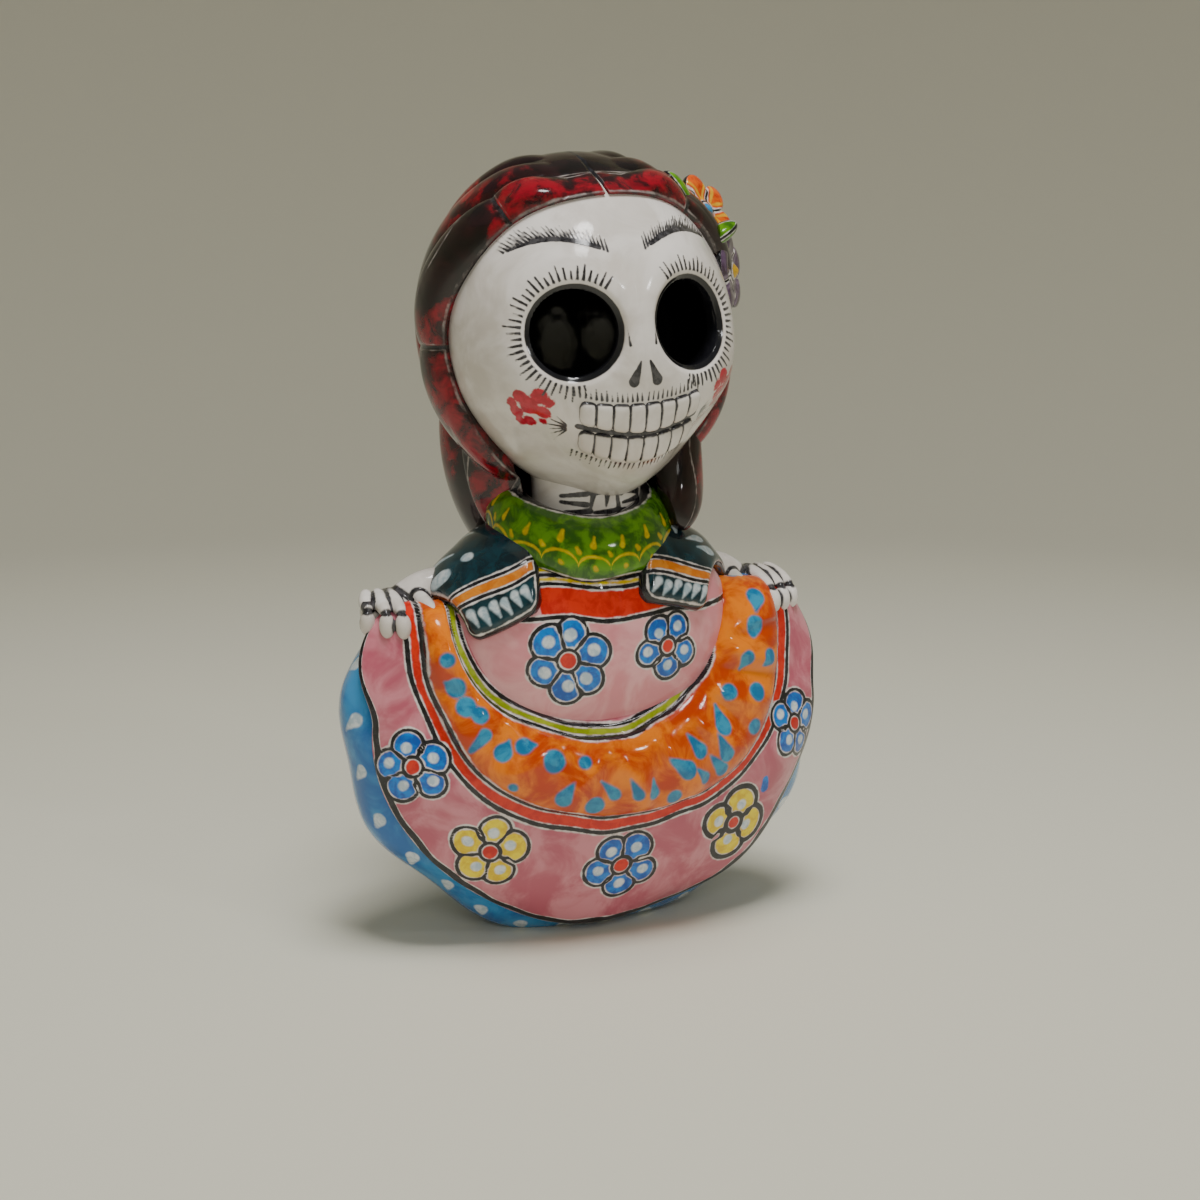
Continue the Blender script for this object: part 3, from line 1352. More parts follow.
@dataclass
class Head:
    """The skull, with a face of plain even proportions in the manner of a sugar skull."""

    bodice: Bodice
    half_width: float = 52.0
    half_depth: float = 49.0
    half_height: float = 57.5
    chin_rise: float = 7.0
    roll: float = 4.0
    wall: float = 6.0
    socket_radius: float = 15.5
    tooth_width: float = 5.2
    tooth_height: float = 9.0
    tooth_corner: float = 2.6
    teeth_per_row: int = 8
    lashes: int = 58
    brow_hairs: int = 27
    lip_strokes: int = 14
    cheek_strokes: int = 6

    @property
    def middle(self) -> Array:
        """The skull's middle."""
        return np.array([0.0, -1.0, self.bodice.shoulder + self.chin_rise + self.half_height])

    @property
    def turn(self) -> Array:
        """The head's roll towards the figure's right shoulder, as a matrix."""
        return np.array(Matrix.Rotation(math.radians(-self.roll), 3, "Y"))

    @property
    def sizes(self) -> Array:
        """The skull's half sizes."""
        return np.array([self.half_width, self.half_depth, self.half_height])

    @property
    def mouth_half(self) -> float:
        """Half the width of the rows of teeth, as a share of the skull's half width."""
        return self.tooth_width * self.teeth_per_row / 2.0 / self.half_width

    def place(self, x: Number, y: Number, z: Number, lift: Number = 0.0) -> Array:
        """Finds points of the rolled head.

        Args:
            x: shares of the skull's half width.
            y: shares of its half depth.
            z: shares of its half height.
            lift: how far beyond there, away from the skull's middle.

        Returns:
            The points.
        """
        local = columns(x, y, z) * self.sizes
        length = np.linalg.norm(local, axis=-1, keepdims=True)
        lift = np.broadcast_to(lift, length[..., 0].shape)[..., None]
        return local * (1.0 + lift / np.maximum(length, 1e-6)) @ self.turn.T + self.middle

    def relief(self, u: Array) -> Array:
        """Measures how far the skull stands out of its oval.

        Args:
            u: directions from its middle.

        Returns:
            The heights.
        """
        x, y, z = u.T
        side, front = np.abs(x), np.maximum(0.0, -y)
        cheek, hollow = (
            np.linalg.norm(columns(side, y, z) - np.array(spot), axis=1)
            for spot in ((0.66, -0.7, -0.25), (0.56, -0.58, -0.6))
        )
        rim = np.abs(np.hypot(side - 0.41, z - 0.06) - 0.37)
        lift = 2.6 * bump(cheek, 0.3) + 1.9 * bump(rim, 0.13) * front - 2.0 * bump(hollow, 0.2)
        lift += 5.0 * bump(np.hypot(x * 0.75, z + 0.52), 0.32) * smooth(front, 0.3, 0.8)
        lift += 3.0 * bump(np.hypot(x * 0.8, z + 0.92), 0.25) * smooth(front, 0.05, 0.4)
        return lift + 1.3 * bump(np.hypot(x * 1.6, z + 0.13), 0.17) * smooth(front, 0.5, 0.9)

    def skull_point(self, u: Array, lift: Number) -> Array:
        """Returns points of the skull in given directions."""
        x, y, z = u.T
        return self.place(x * (1.0 - 0.12 * smooth(-z, 0.25, 1.0)), y, z, lift)

    def on_face(self, x: float, z: float) -> Array:
        """Returns the point of the face at shares of the half sizes across and up."""
        u = np.array([[x, -math.sqrt(max(0.0, 1.0 - x * x - z * z)), z]])
        return self.skull_point(u, self.relief(u))[0]

    def socket_axis(self, side: Side) -> tuple[Array, Array]:
        """Returns a point on the axis of an eye socket, and the axis's direction outwards."""
        outer = self.place(side.value * 0.41, -0.9, 0.07)
        return outer, unit(outer - self.place(side.value * 0.3, -0.25, 0.04))

    def socket_reach(self, points: Array, side: Side) -> tuple[Array, Array]:
        """Measures points against an eye socket.

        Args:
            points: the points.
            side: the socket's side.

        Returns:
            Their turn about its axis from its outer side, and their distance from the axis.
        """
        outer, axis = self.socket_axis(side)
        right = unit(np.cross(np.array([0.0, 0.0, 1.0]), axis))
        across, over = (points - outer) @ right, (points - outer) @ np.cross(axis, right)
        return np.arctan2(over, across * side.value), np.hypot(across, over)

    def build_skull(self) -> Piece:
        """Builds the hollow skull with its two open sockets.

        Returns:
            The dressed skull.
        """
        piece, turn, share = ball("skull", 470, 190)
        polar = math.pi * lerp(share * 0.62, 1.0, smooth(share, 0.55, 1.0) ** 2.2)
        u = columns(np.cos(turn) * np.sin(polar), -np.cos(polar), np.sin(turn) * np.sin(polar))
        lift = self.relief(u)
        points = self.skull_point(u, lift)
        for side in Side:
            inward = self.socket_radius - self.socket_reach(points, side)[1]
            lift -= 2.4 * smooth(inward, -3.4, 0.6) ** 2 * smooth(-u[:, 1], 0.2, 0.5)
        press(piece, self.skull_point(u, lift))
        self.hollow_out(piece)
        paint = Paint(formed(piece), Majolica("majolica_bone", BONE, (CRIMSON_CHEEK, GREY_INK, NIGHT)))
        self.paint_face(paint)
        return paint.dress(piece)

    def hollow_out(self, piece: Piece) -> None:
        """Cuts the hollow and the two sockets out of the skull.

        Args:
            piece: the pressed skull.
        """
        lump, turn, share = ball("skull_hollow", 64, 40)
        press(lump, self.place(*sphere(turn, math.pi * share).T, -self.wall - 1.0))
        cutters, radius = [lump], self.socket_radius
        for side in Side:
            outer, axis = self.socket_axis(side)
            bpy.ops.object.select_all(action="DESELECT")
            bpy.ops.mesh.primitive_cone_add(
                vertices=128, radius1=0.9 * radius, radius2=radius, depth=self.half_depth)
            cutters.append(bpy.context.object)
            press(cutters[-1], coordinates(cutters[-1]) @ facing(axis).T + outer)
        for cutter in cutters:
            pick_up(piece)
            cut = piece.modifiers.new("cut", "BOOLEAN")
            cut.operation, cut.solver, cut.object = "DIFFERENCE", "MANIFOLD", cutter
            bpy.ops.object.modifier_apply(modifier=cut.name)
            bpy.data.objects.remove(cutter)

    def paint_face(self, paint: Paint) -> None:
        """Paints the face: sockets, lashes, brows, nose, roses and the strokes about the mouth.

        Args:
            paint: the skull's paint, changed in place.
        """
        local = (paint.points - self.middle) @ self.turn / self.sizes
        depth = (np.linalg.norm(local, axis=1) - 1.0) * 50.0
        front = unit(local)[:, 1] < -0.2
        paint.add("night", depth + 4.0, depth < -4.0)
        for side in Side:
            turned, reach = self.socket_reach(paint.points, side)
            paint.add("night", reach - self.socket_radius - 0.9, front)
            self.paint_lashes(paint, turned, reach, front)
            for path, widths in self.face_strokes():
                line = np.array([self.on_face(side.value * x, z) for x, z in path])
                paint.dab("ink", line.mean(axis=0), 16.0, stroke, line, widths)
            for x, z, size in ROSE_DABS:
                centre = self.on_face(side.value * x, z)
                paint.dab("crimson", centre, 14.0, disc, centre, size)

    def paint_lashes(self, paint: Paint, turned: Array, reach: Array, front: Array) -> None:
        """Paints short strokes round the outer and upper rim of one socket.

        Args:
            paint: the skull's paint, changed in place.
            turned: turn of each point about the socket's axis.
            reach: distance of each point from the axis.
            front: which points are on the front of the skull.
        """
        step = math.tau / self.lashes
        lash = np.round(turned / step)
        off = np.abs(turned - lash * step) * reach
        length = 4.6 + 1.2 * np.sin(lash * 1.7)
        start = self.socket_radius + 2.0
        along = reach - start
        width = lerp(0.56, 0.3, np.clip(along / length, 0.0, 1.0))
        wanted = (turned > math.radians(-100.0)) & (turned < math.radians(128.0)) & front
        paint.add("ink", np.maximum(off - width, np.maximum(-along, along - length)), wanted)

    def face_strokes(self) -> list[tuple[list[tuple[float, float]], Sequence[float]]]:
        """Draws the strokes of one half of the face.

        Returns:
            Each stroke's path in shares of the skull's half sizes, and its widths.
        """
        strokes = [([(0.03, -0.11), (0.075, -0.215)], (0.8, 4.0)), ([(0.1, 0.1), (0.085, -0.02)], (0.5, 1.0))]
        brow = [(x, self.brow_level(x)) for x in np.linspace(0.12, 0.74, 9)]
        strokes.append((brow, (1.0, 1.7, 2.1, 2.2, 2.0, 1.8, 1.5, 1.1, 0.6)))
        for index in range(self.brow_hairs):
            x = lerp(0.12, 0.72, (index + 0.5) / self.brow_hairs)
            z, lean = self.brow_level(x), lerp(0.0, 0.06, index / self.brow_hairs)
            strokes.append(([(x, z), (x + lean, z + 0.075 + 0.012 * math.sin(index * 2.0))], (1.1, 0.35)))
        slit = [(lerp(0.0, self.mouth_half, k), -0.5 + 0.05 * k * k) for k in np.linspace(0.0, 1.0, 7)]
        strokes.append((slit, (2.2,) * 7))
        for row in Row:
            for index in range(self.lip_strokes):
                x = 0.02 + index * 0.031
                z = self.lip_level(row, x / self.mouth_half)
                tip = x + 0.004, z + row.value * (0.055 + 0.01 * math.sin(index * 3.0))
                strokes.append(([(x, z + row.value * 0.012), tip], (0.9, 0.35)))
        x, z = 0.47, -0.46
        for index in range(self.cheek_strokes):
            angle = lerp(-1.0, 1.0, index / (self.cheek_strokes - 1.0))
            reach = 0.11 + 0.02 * math.cos(index * 2.0)
            tip = x + reach * math.cos(angle), z + reach * math.sin(angle)
            strokes.append(([(x, z + angle * 0.02), tip], (1.1, 0.3)))
        return strokes

    def brow_level(self, x: float) -> float:
        """Returns the level of a brow at a place across the face, in shares of the half sizes."""
        return 0.455 + 0.15 * math.sin(math.pi * (0.12 + 0.72 * (x - 0.12) / 0.62))

    def lip_level(self, row: Row, share: Number) -> Number:
        """Returns the outer level of a row of teeth at a share of the way to its corner."""
        return -0.5 + row.value * (self.tooth_height + 0.5) / self.half_height + 0.05 * share * share

    def build_teeth(self, row: Row) -> Piece:
        """Builds one closed row of teeth, a band with a soft groove between each two.

        Args:
            row: the row.

        Returns:
            The dressed row.
        """
        piece, s, t, on_top = slab(f"teeth_{row.name.lower()}", self.teeth_per_row * 22, 34)
        joint = np.abs(((s + 1.0) / 2.0 * self.teeth_per_row) % 1.0 - 0.5) * 2.0
        tall = self.tooth_height * (1.0 - 0.1 * joint**4) * (1.0 - 0.12 * s * s)
        middle = self.lip_level(row, s) - row.value * self.tooth_height / 2.0 / self.half_height
        x, z = s * self.mouth_half, middle + t * tall / 2.0 / self.half_height
        u = columns(x, -np.sqrt(np.maximum(0.0, 1.0 - x * x - z * z)), z)
        ends = (1.0 - np.abs(s)) * self.mouth_half * self.half_width
        gums = (1.0 - np.abs(t)) * tall / 2.0
        into = np.maximum(self.tooth_corner - ends, 0.0), np.maximum(self.tooth_corner - gums, 0.0)
        corner = self.tooth_corner - np.hypot(*into)
        top = 1.9 * rolled_edge(corner, 2.4) - 0.9 * joint**6
        placed = press(piece, self.skull_point(u, self.relief(u) + np.where(on_top, top, -2.5)))
        paint = Paint(placed, Majolica("majolica_teeth", BONE, (GREY_INK,)))
        groove = lerp(0.28, 0.5, 0.5 + 0.5 * row.value * t)
        paint.add("ink", (1.0 - joint) * self.tooth_width / 2.0 - groove)
        paint.add("ink", corner - 0.45)
        return paint.dress(piece)

    def build(self) -> None:
        """Builds the skull and its teeth."""
        self.build_skull()
        for row in Row:
            self.build_teeth(row)


# Dabs of the rose on a cheek: place in shares of the skull's half sizes, and radius in millimetres.
ROSE_DABS = (
    (0.66, -0.32, 3.6), (0.59, -0.36, 3.0), (0.73, -0.36, 2.8), (0.61, -0.26, 2.9), (0.71, -0.26, 2.8),
    (0.66, -0.42, 2.7), (0.56, -0.3, 2.2), (0.75, -0.3, 2.2), (0.6, -0.42, 1.9), (0.71, -0.42, 1.9),
)


# Hair

@dataclass
class Hair:
    """Thick smooth hair, parted in the middle, that falls to the shoulders in rope-like locks."""

    head: Head
    thickness: float = 2.5
    lock_height: float = 4.0
    roll_height: float = 7.4
    least_height: float = 1.3
    hairline: float = 84.0
    roll_span: float = 23.0
    necks: tuple[float, ...] = (0.0, 38.0, 90.0, 146.0, 180.0)
    lock_span: float = 20.0
    locks_per_side: int = 3
    parting: float = 0.56
    under_skin: float = -6.5
    loose_lock_width: float = 21.0
    loose_lock_thickness: float = 14.0
    masses: tuple = ((0.2, 0.06, 1.0, 0.96, 0.98), (0.44, -0.64, 0.86, 0.6, 0.98))

    def onto(self, direction: Array, lift: Array) -> Array:
        """Finds the outermost place of hair or skull in a direction from the skull's middle.

        Args:
            direction: rows of shares of the skull's half sizes.
            lift: how far above that place.

        Returns:
            The points.
        """
        sizes = self.head.sizes
        d = unit(direction * sizes)
        reach = 1.0 / np.linalg.norm(d / sizes, axis=1)
        for y, z, wide, deep, tall in self.masses:
            radii = np.array([wide, deep, tall]) * sizes + self.thickness
            scaled, centre = d / radii, np.array([0.0, y, z]) * sizes / radii
            square, half, rest = (scaled**2).sum(axis=1), scaled @ centre, float(centre @ centre) - 1.0
            under = half * half - square * rest
            far_side = (half + np.sqrt(np.maximum(under, 0.0))) / square
            reach = np.where(under > 0, np.maximum(reach, far_side), reach)
        return (d * (reach + lift)[:, None]) @ self.head.turn.T + self.head.middle

    def profile(self, degrees: Array) -> tuple[Array, Array]:
        """Shapes the hair round the head.

        Args:
            degrees: angles from the face.

        Returns:
            The height of the hair there, and the degrees to the nearest groove.
        """
        edge, span = self.hairline, self.lock_span
        end = edge + self.roll_span
        last = end + self.locks_per_side * span
        in_roll, in_last = (degrees >= edge) & (degrees < end), degrees >= last
        low = np.where(in_roll, edge, np.where(in_last, last, end + np.floor((degrees - end) / span) * span))
        wide = np.where(in_roll, self.roll_span, np.where(in_last, 2.0 * (180.0 - last), span))
        share = np.abs(np.clip((degrees - low) / wide, 0.0, 1.0) * 2.0 - 1.0)
        height = np.where(in_roll, self.roll_height, self.lock_height)
        return height * np.sqrt(np.maximum(0.0, 1.0 - share**2.6)), (1.0 - share) * wide / 2.0

    def segment(self, polar: Array) -> tuple[Array, Array]:
        """Measures the swellings of the roll.

        Args:
            polar: angles from the crown.

        Returns:
            The share of the way along the swelling there, and the millimetres left of it.
        """
        knots = np.radians(self.necks)
        index = np.clip(np.searchsorted(knots, polar, side="right") - 1, 0, len(knots) - 2)
        share = (polar - knots[index]) / (knots[index + 1] - knots[index])
        return np.clip(share, 0.0, 1.0), (knots[index + 1] - polar) * self.head.half_height

    def build_locks(self) -> Piece:
        """Builds the cap and the fall with all their locks.

        Returns:
            The dressed hair.
        """
        around, hidden = 440, 12
        half = around / 2.0
        piece, turn, share = ball("hair", around, 210)
        from_front = half - np.abs(((turn / math.tau * around + around * 1.25) % around) - half)
        inner = from_front <= hidden
        outside = lerp(self.hairline, 180.0, (from_front - hidden) / (half - hidden))
        degrees = np.where(inner, lerp(180.0, self.hairline, from_front / hidden), outside)
        polar = math.pi * share
        height, groove = self.profile(degrees)
        height = np.where(inner, self.under_skin, height)
        angle = np.radians(degrees)
        angle = angle + np.radians(2.5) * np.sin(polar * 5.0) * np.sin(angle)
        reach = np.sin(polar)
        x, back = np.sign(np.cos(turn)) * np.sin(angle) * reach, -np.cos(angle)
        in_roll = (degrees < self.hairline + self.roll_span) & ~inner
        swell = np.where(in_roll, 0.52 + 0.48 * np.sin(math.pi * self.segment(polar)[0]) ** 0.6, 1.0)
        start = lerp(-self.parting, self.parting, (degrees - self.hairline) / (180.0 - self.hairline))
        upper = np.cos(polar) >= 0
        y_top = lerp(np.where(reach < 1e-6, 0.0, start), back, reach * reach)
        z_top = np.sqrt(np.maximum(0.0, 1.0 - x * x - y_top * y_top))
        over, beside = columns(x, y_top, z_top), columns(x, back * reach, np.cos(polar))
        direction = np.where(upper[:, None], over, beside)
        swell = np.where(upper, swell * smooth(reach, 0.05, 0.55), swell)
        lift = np.where(height < 0, height, np.maximum(height * swell, self.least_height))
        press(piece, self.onto(direction, lift))
        pigments = (CRIMSON_HAIR, GROOVE_LIGHT, INK)
        paint = Paint(direction, Majolica("majolica_hair", BLACKBROWN, pigments))
        self.paint_locks(paint, degrees, groove, polar, in_roll, np.where(inner, 0.0, lift))
        crown = upper & ~inner
        paint.add("crimson", np.hypot(x * 46.0, (y_top + self.parting) * 30.0) - 4.5, crown)
        paint.add("ink", np.abs(x) * self.head.half_width - 0.7, crown)
        return paint.dress(piece)

    def paint_locks(self, paint: Paint, degrees: Array, groove: Array, polar: Array, in_roll: Array,
                    height: Array) -> None:
        """Paints the dark grooves, the thin bare line beside them and the crimson patches.

        Args:
            paint: the hair's paint, changed in place.
            degrees: angle of each point from the face.
            groove: degrees from each point to the nearest groove.
            polar: angle of each point from the crown.
            in_roll: which points are on the roll that frames the face.
            height: how far each point stands above the grooves.
        """
        reach = np.maximum(np.sin(polar), 0.6) * self.head.half_width
        across = np.radians(groove) * reach
        deep = np.hypot(across, height * 0.6)
        near_roll = degrees < self.hairline + self.roll_span + 2.0
        paint.add("ink", np.where(near_roll, deep - 0.75, deep - 0.5))
        paint.add("light", np.abs(deep - 1.05) - 0.2, in_roll)
        share, left = self.segment(polar)
        gone = share * left / np.maximum(1.0 - share, 1e-3)
        neck = np.minimum(left, share * (left / np.maximum(1.0 - share, 1e-3)))
        paint.add("ink", neck - 0.6, in_roll)
        paint.add("light", np.abs(neck - 0.95) - 0.2, in_roll)
        inward = np.radians(degrees - self.hairline) * reach
        between = np.maximum(inward - 9.5 - 3.0 * np.sin(left / 5.0), 2.5 - gone)
        dark_lock = (math.radians(20.0) - np.abs(polar - math.radians(60.0))) * self.head.half_height
        between = np.maximum(between, dark_lock - np.maximum(0.0, 4.0 - inward) * 2.0)
        paint.add("crimson", np.maximum(between, 1.0 - deep), in_roll)
        paint.add("light", np.abs(inward - 11.5 - 1.5 * np.sin(left / 6.0)) - 0.28, in_roll)
        lock = np.floor((degrees - self.hairline - self.roll_span) / self.lock_span)
        for step in range(3):
            patch = 0.75 + 0.7 * step + 0.3 * np.sin(lock * 2.3 + step * 1.9)
            paint.add("crimson", np.hypot((across - 5.0) * 1.1, (polar - patch) * 17.0) - 4.5, ~in_roll)

    def build_loose_lock(self) -> Piece:
        """Builds the lock that hangs before the figure's left shoulder.

        Returns:
            The dressed lock.
        """
        piece, turn, share = ball("hair_loose_lock", 96, 120)
        path = np.array([self.head.place(*knot) for knot in (
            (0.72, 0.04, -0.49), (0.62, -0.06, -0.85), (0.55, -0.2, -1.07), (0.48, -0.33, -1.26))])
        curves = np.polyfit(np.linspace(0.0, 1.0, len(path)), path, 3).T
        centre = np.array([np.polyval(curve, share) for curve in curves]).T
        tangent = unit(np.array([np.polyval(np.polyder(curve), share) for curve in curves]).T)
        out = np.array([0.4, -1.0, 0.1])
        height = unit(out - tangent * (tangent @ out)[:, None])
        end = np.sin(math.pi * share) ** 0.4
        half_width = self.loose_lock_width / 2.0 * lerp(1.1, 0.73, share**2)
        ripple = 1.0 + 0.05 * np.cos(3.0 * turn + share * 5.0)
        press(piece, (
            centre + np.cross(tangent, height) * (np.cos(turn) * half_width * end * ripple)[:, None]
            + height * (np.sin(turn) * self.loose_lock_thickness / 2.0 * end * ripple)[:, None]
        ))
        pigments = (CRIMSON_HAIR, GROOVE_LIGHT, INK)
        paint = Paint(centre, Majolica("majolica_loose_lock", BLACKBROWN, pigments))
        across = np.cos(turn) * half_width
        paint.add("crimson", across + 3.5 + 2.0 * np.sin(share * 9.0), np.sin(turn) > -0.2)
        paint.add("light", np.abs(across - 2.0 * np.sin(share * 6.0)) - 0.35)
        return paint.dress(piece)

    def build(self) -> None:
        """Builds the hair's two pieces."""
        self.build_locks()
        self.build_loose_lock()


@dataclass
class HairFlowers:
    """Two flowers and two leaves in the hair over the figure's left temple."""

    head: Head
    orange_radius: float = 14.5
    purple_radius: float = 15.0
    petal_thickness: float = 5.0
    leaf_length: float = 18.0

    def flower(self, name: str, centre: Array, normal: Array, petals: int, reach: float,
               pigments: tuple[Pigment, ...]) -> Piece:
        """Builds one flower, a disc with rounded petals about a low boss.

        Args:
            name: the last word of its name.
            centre: its middle.
            normal: the way that it faces.
            petals: their number.
            reach: its radius.
            pigments: of its petals, their stripes and its heart.

        Returns:
            The dressed flower.
        """
        piece, turn, share = ball(f"hair_flower_{name}", petals * 48, 72)
        outward, up = np.sin(math.pi * share) ** 1.6, np.cos(math.pi * share)
        petal = np.abs(np.cos(turn * petals / 2.0)) ** 0.5
        radius = reach * outward * lerp(1.0, lerp(0.62, 1.0, petal), smooth(outward, 0.25, 0.8))
        valley = 0.16 * (1.0 - petal) * smooth(outward, 0.2, 0.6)
        dome = 0.35 * np.sqrt(np.maximum(0.0, up)) + 0.3 * bump(outward - 0.75, 0.3) - valley
        height = self.petal_thickness * np.where(up > 0.01, 0.55 * bump(outward, 0.2) + dome, up)
        form = columns(np.cos(turn) * radius, np.sin(turn) * radius, height)
        finish = Majolica(f"majolica_{name}_flower", pigments[0], (*pigments[1:], INK))
        paint = Paint(press(piece, form @ facing(normal).T + centre), finish)
        flat = outward * reach
        off = np.abs(((turn * petals / math.tau) % 1.0) - 0.5) * math.tau / petals * flat
        paint.add("ink", np.maximum(off - 0.5, reach * 0.25 - flat))
        paint.add("ink", np.full(len(up), -0.3), np.abs(up) < 0.14)
        paint.add("ink", np.abs(flat - reach * 0.24) - 0.4)
        paint.add("heart", flat - reach * 0.2)
        paint.add("stripe", np.maximum(np.abs(off - reach * 0.16) - 0.6, reach * 0.3 - flat))
        return paint.dress(piece)

    def leaf(self, name: str, centre: Array, direction: Array) -> Piece:
        """Builds one leaf, with a dark edge and midrib.

        Args:
            name: the last word of its name.
            centre: its middle.
            direction: the way that it points.

        Returns:
            The dressed leaf.
        """
        size = np.array([self.leaf_length * 0.2, self.leaf_length / 3.0, self.leaf_length / 2.0])
        piece, u = egg(f"hair_leaf_{name}", centre, size, direction, 72, 48)
        paint = Paint(u, Majolica("majolica_leaf", GREEN, (INK,)))
        paint.add("ink", np.minimum(np.abs(u[:, 0]) * 5.0 - 0.7, np.abs(u[:, 1]) * size[1] - 0.5))
        return paint.dress(piece)

    def build(self) -> None:
        """Builds the flowers and leaves."""
        place = self.head.place
        self.flower("orange", place(0.77, -0.06, 0.585, 8.0), np.array([0.42, -0.8, 0.4]), 6,
                    self.orange_radius, (FLAME, GOLD_STRIPE, BLUE_HEART))
        self.flower("purple", place(0.97, -0.02, 0.27, 5.5), np.array([0.78, -0.6, 0.1]), 5,
                    self.purple_radius, (PURPLE, LILAC_STRIPE, GOLD_HEART))
        self.leaf("front", place(0.6, -0.14, 0.74, 6.0), np.array([-0.6, -0.3, 0.7]))
        self.leaf("back", place(0.87, -0.1, 0.48, 5.5), np.array([0.8, -0.2, 0.5]))


# Arms and hands

@dataclass
class Arms:
    """The two short arms, and the bony hands that hold up the corners of the skirt."""

    skirt: Skirt
    bodice: Bodice
    reach: float = 69.0
    set_back: float = 7.0
    width: float = 23.0
    depth: float = 22.0
    height: float = 17.0
    thickness: float = 16.0
    finger: float = 5.7
    fingers: tuple[float, ...] = (1.04, 0.6, 0.17, -0.78)
    voxel: float = 0.45

    def lumps(self, side: Side) -> list[tuple[Array, Array, Array]]:
        """Sets out the lumps of one arm: wrist, forearm and two bones for each finger and the thumb.

        Args:
            side: the side of the figure.

        Returns:
            Each lump's centre, half sizes and long axis.
        """
        sign, top = side.value, self.skirt.top
        wrist = np.array([self.bodice.x + sign * self.reach, self.set_back, top - self.height * 0.35])
        elbow = np.array([
            self.bodice.x + sign * self.bodice.half_width * 0.9, self.set_back - 3.0,
            self.bodice.level + self.thickness * 1.2,
        ])
        run = wrist - elbow
        forearm = np.array([self.thickness / 2.0, self.thickness * 0.44, float(np.linalg.norm(run)) * 0.75])
        made = [
            (wrist, np.array([self.width, self.depth, self.height]) / 2.0, np.array([0.0, 0.0, 1.0])),
            ((wrist + elbow) / 2.0, forearm, run),
        ]
        tip_level = top - self.height * 0.68
        for share in self.fingers:
            across = sign * share * self.width / 2.0
            x = wrist[0] + across
            front = float(self.skirt.plain_y(np.array([x]), np.array([tip_level]))[0])
            root = wrist + np.array([across * 0.8, 0.0, self.height * 0.45])
            bend = np.array([x, lerp(wrist[1], front, 0.75) - 4.0, top - self.height * 0.2])
            tip = np.array([x, front - 1.0, tip_level])
            for start, end in ((root, bend), (bend, tip)):
                length = float(np.linalg.norm(end - start))
                size = np.array([self.finger / 2.0, self.finger / 2.0, length * 0.56])
                made.append(((start + end) / 2.0, size, end - start))
        return made

    def build_side(self, side: Side) -> Piece:
        """Builds one arm with its hand.

        Args:
            side: the side of the figure.

        Returns:
            The dressed arm.
        """
        forms = self.lumps(side)
        made = [egg(f"lump_{index}", *form, 40, 26)[0] for index, form in enumerate(forms)]
        piece = made[0]
        pick_up(piece)
        for lump in made:
            lump.select_set(True)
        bpy.ops.object.join()
        piece.name = f"arm_{side.name.lower()}"
        merge = piece.modifiers.new("merge", "REMESH")
        merge.mode, merge.voxel_size = "VOXEL", self.voxel * MM
        soften = piece.modifiers.new("soften", "SMOOTH")
        soften.iterations = 4
        for modifier in (merge, soften):
            bpy.ops.object.modifier_apply(modifier=modifier.name)
        bpy.ops.object.shade_smooth()
        paint = Paint(formed(piece), Majolica("majolica_arm", BONE, (GREY_INK,)))
        distances = []
        for centre, size, direction in forms:
            local = (paint.points - centre) @ facing(direction) / size
            ratio = np.linalg.norm(local, axis=1)
            distances.append((ratio - 1.0) * np.linalg.norm(local * size, axis=1) / np.maximum(ratio, 1e-6))
        nearest, second = np.sort(np.array(distances), axis=0)[:2]
        paint.add("ink", (second - nearest) / 2.0 - 0.65)
        x, y, z = paint.points.T
        over_edge = (z < self.skirt.top) & (y < self.set_back - 4.0)
        paint.add("ink", np.abs(self.skirt.plain_y(x, z) - y - 0.3) - 1.0, over_edge)
        return paint.dress(piece)

    def build(self) -> None:
        """Builds both arms."""
        for side in Side:
            self.build_side(side)


# Studio

@dataclass(frozen=True)
class Lamp:
    """One round soft light that faces the figure.

    Attributes:
        name: the light's name.
        place: where it stands, in metres.
        size: its diameter in metres.
        watts: its power.
        spread: the angle over which it shines, in degrees.
        mirrored: whether the glaze shows its reflection.
    """

    name: str
    place: tuple[float, float, float]
    size: float
    watts: float
    spread: float = 180.0
    mirrored: bool = True


@dataclass(frozen=True)
class PaintedBoard:
    """Matt painted board: pale and with no highlight, so that only the glaze shines."""

    colour: str = "#d8d5c4"
    roughness: float = 0.7

    def material(self) -> bpy.types.Material:
        """Builds the finish.

        Returns:
            The material.
        """
        made = bpy.data.materials.new("painted_board")
        made.use_nodes = True
        shader = made.node_tree.nodes["Principled BSDF"]
        shader.inputs["Base Color"].default_value = linear(self.colour)
        shader.inputs["Roughness"].default_value = self.roughness
        return made


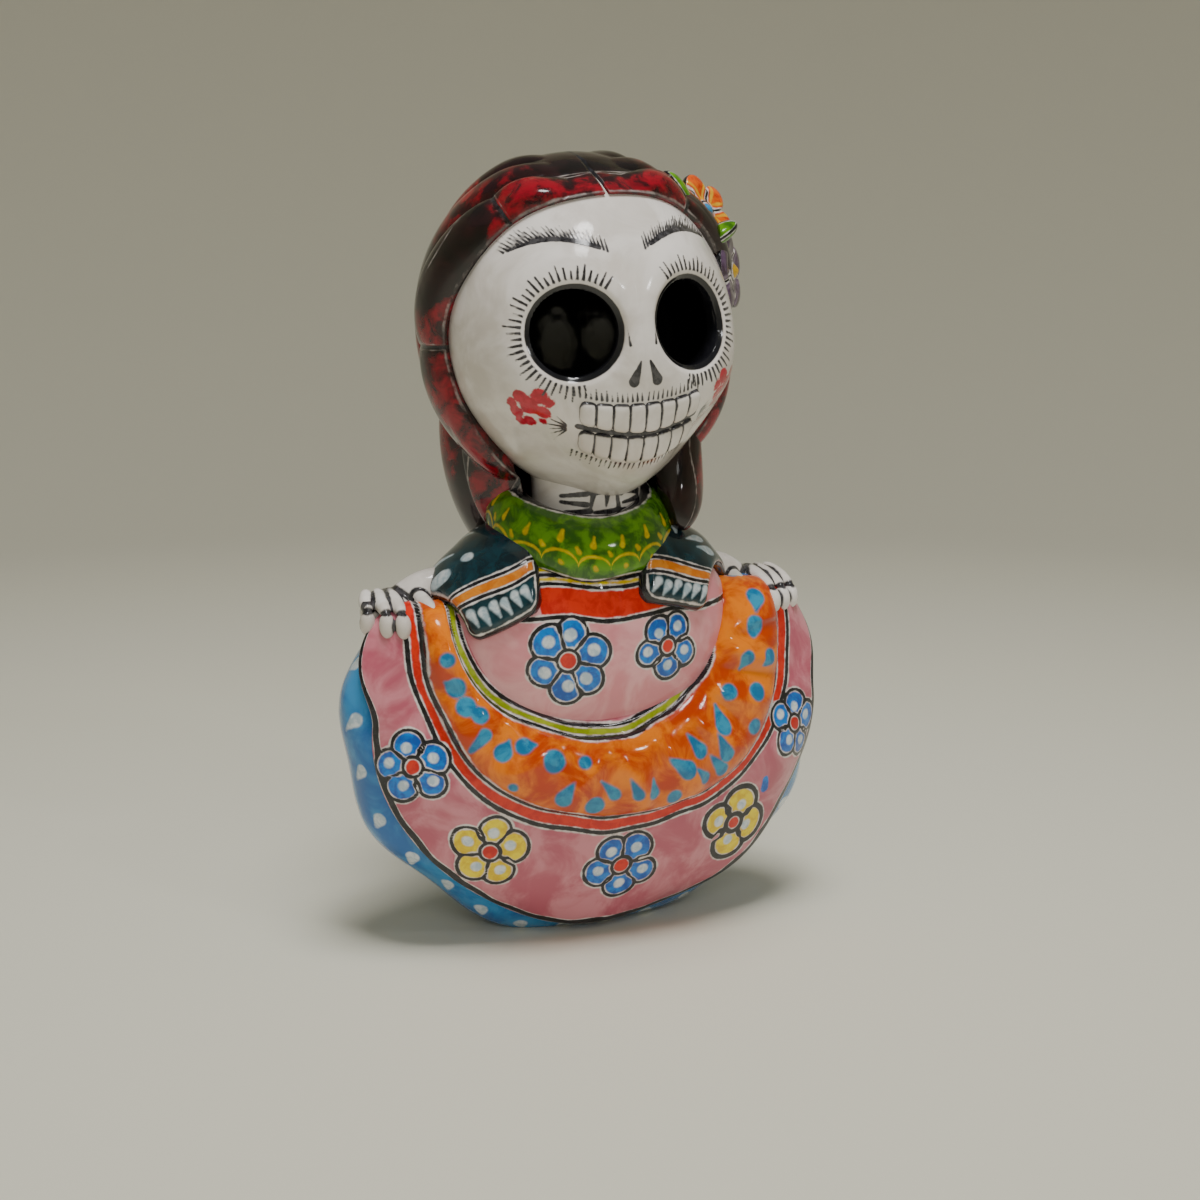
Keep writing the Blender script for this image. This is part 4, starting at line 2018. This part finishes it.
@dataclass(frozen=True)
class Studio:
    """A pale seamless sweep, soft light and the camera at the photograph's place."""

    azimuth: float = -22.0
    elevation: float = 10.5
    distance: float = 0.760
    target: tuple[float, float, float] = (0.0063, -0.0045, 0.119)
    lens: float = 62.2
    bowl_radius: float = 1.7
    bowl_height: float = 1.9
    bowl_curve: float = 0.75
    board: PaintedBoard = PaintedBoard()
    glow_colour: str = "#b9b8ae"
    glow_strength: float = 0.27
    lamps: tuple[Lamp, ...] = (
        Lamp("overhead", (0.0, -0.2, 1.5), 0.65, 8.6, 128.0, False),
        Lamp("front", (-0.35, -1.45, 0.75), 0.8, 2.2, 110.0, False),
        Lamp("ceiling_lamp", (-0.1, -0.45, 1.5), 0.26, 3.2),
        Lamp("window", (0.55, -1.2, 1.1), 0.12, 1.4),
    )

    def stand(self, name: str, data: bpy.types.ID, place: Vector) -> Piece:
        """Stands a light or the camera at its place.

        Args:
            name: its name.
            data: its data.
            place: its place.

        Returns:
            The object.
        """
        thing = bpy.data.objects.new(name, data)
        thing.location = place
        bpy.context.scene.collection.objects.link(thing)
        return thing

    def camera(self) -> None:
        """Sets the camera."""
        across, up = math.radians(self.azimuth), math.radians(self.elevation)
        back = Vector((math.sin(across) * math.cos(up), -math.cos(across) * math.cos(up), math.sin(up)))
        data = bpy.data.cameras.new("camera")
        data.lens, data.sensor_width = self.lens, 36.0
        camera = self.stand("camera", data, Vector(self.target) + back * self.distance)
        camera.rotation_euler = back.to_track_quat("Z", "Y").to_euler()
        bpy.context.scene.camera = camera

    def light(self, lamp: Lamp) -> None:
        """Sets one lamp.

        Args:
            lamp: the lamp.
        """
        data = bpy.data.lights.new(lamp.name, "AREA")
        data.shape, data.size, data.energy = "DISK", lamp.size, lamp.watts
        data.spread = math.radians(lamp.spread)
        thing = self.stand(lamp.name, data, Vector(lamp.place))
        thing.visible_glossy = lamp.mirrored
        thing.rotation_euler = (Vector(lamp.place) - Vector(self.target)).to_track_quat("Z", "Y").to_euler()

    def sweep(self) -> None:
        """Builds the floor and the wall as one round bowl, so that no edge shows from any side."""
        bpy.ops.object.select_all(action="DESELECT")
        bpy.ops.mesh.primitive_cylinder_add(
            vertices=96, radius=self.bowl_radius, depth=self.bowl_height,
            location=(0.0, 0.0, self.bowl_height / 2.0), end_fill_type="NGON")
        floor = bpy.context.object
        floor.name = "floor"
        bpy.ops.object.mode_set(mode="EDIT")
        bpy.ops.mesh.select_all(action="DESELECT")
        mesh = bmesh.from_edit_mesh(floor.data)
        for face in mesh.faces:
            face.select_set(face.normal.z > 0.9)
        bmesh.update_edit_mesh(floor.data)
        bpy.ops.mesh.delete(type="ONLY_FACE")
        mesh = bmesh.from_edit_mesh(floor.data)
        for edge in mesh.edges:
            edge.select_set(all(vertex.co.z < 0.0 for vertex in edge.verts))
        bmesh.update_edit_mesh(floor.data)
        bpy.ops.mesh.bevel(offset=self.bowl_curve, segments=20, affect="EDGES")
        bpy.ops.mesh.select_all(action="SELECT")
        bpy.ops.mesh.flip_normals()
        bpy.ops.object.mode_set(mode="OBJECT")
        bpy.ops.object.transform_apply(location=True, rotation=True, scale=True)
        bpy.ops.object.shade_smooth_by_angle(angle=math.radians(40.0))
        floor.data.materials.append(self.board.material())

    def build(self) -> None:
        """Sets camera, sweep, lights and the room's glow."""
        self.camera()
        self.sweep()
        for lamp in self.lamps:
            self.light(lamp)
        world = bpy.data.worlds.new("room")
        world.use_nodes = True
        glow = world.node_tree.nodes["Background"]
        glow.inputs["Color"].default_value = linear(self.glow_colour)
        glow.inputs["Strength"].default_value = self.glow_strength
        bpy.context.scene.world = world


def main() -> None:
    """Builds the studio and the figure, piece by piece."""
    logging.basicConfig(level=logging.INFO, format="%(relativeCreated)d ms, %(name)s: %(message)s")
    Studio().build()
    skirt = Skirt()
    bodice = Bodice(skirt)
    head = Head(bodice)
    parts = (
        skirt, bodice, Shawl(bodice), Collar(bodice), Neck(bodice), head, Hair(head), HairFlowers(head),
        Arms(skirt, bodice),
    )
    for part in parts:
        part.build()


if __name__ == "__main__":
    main()
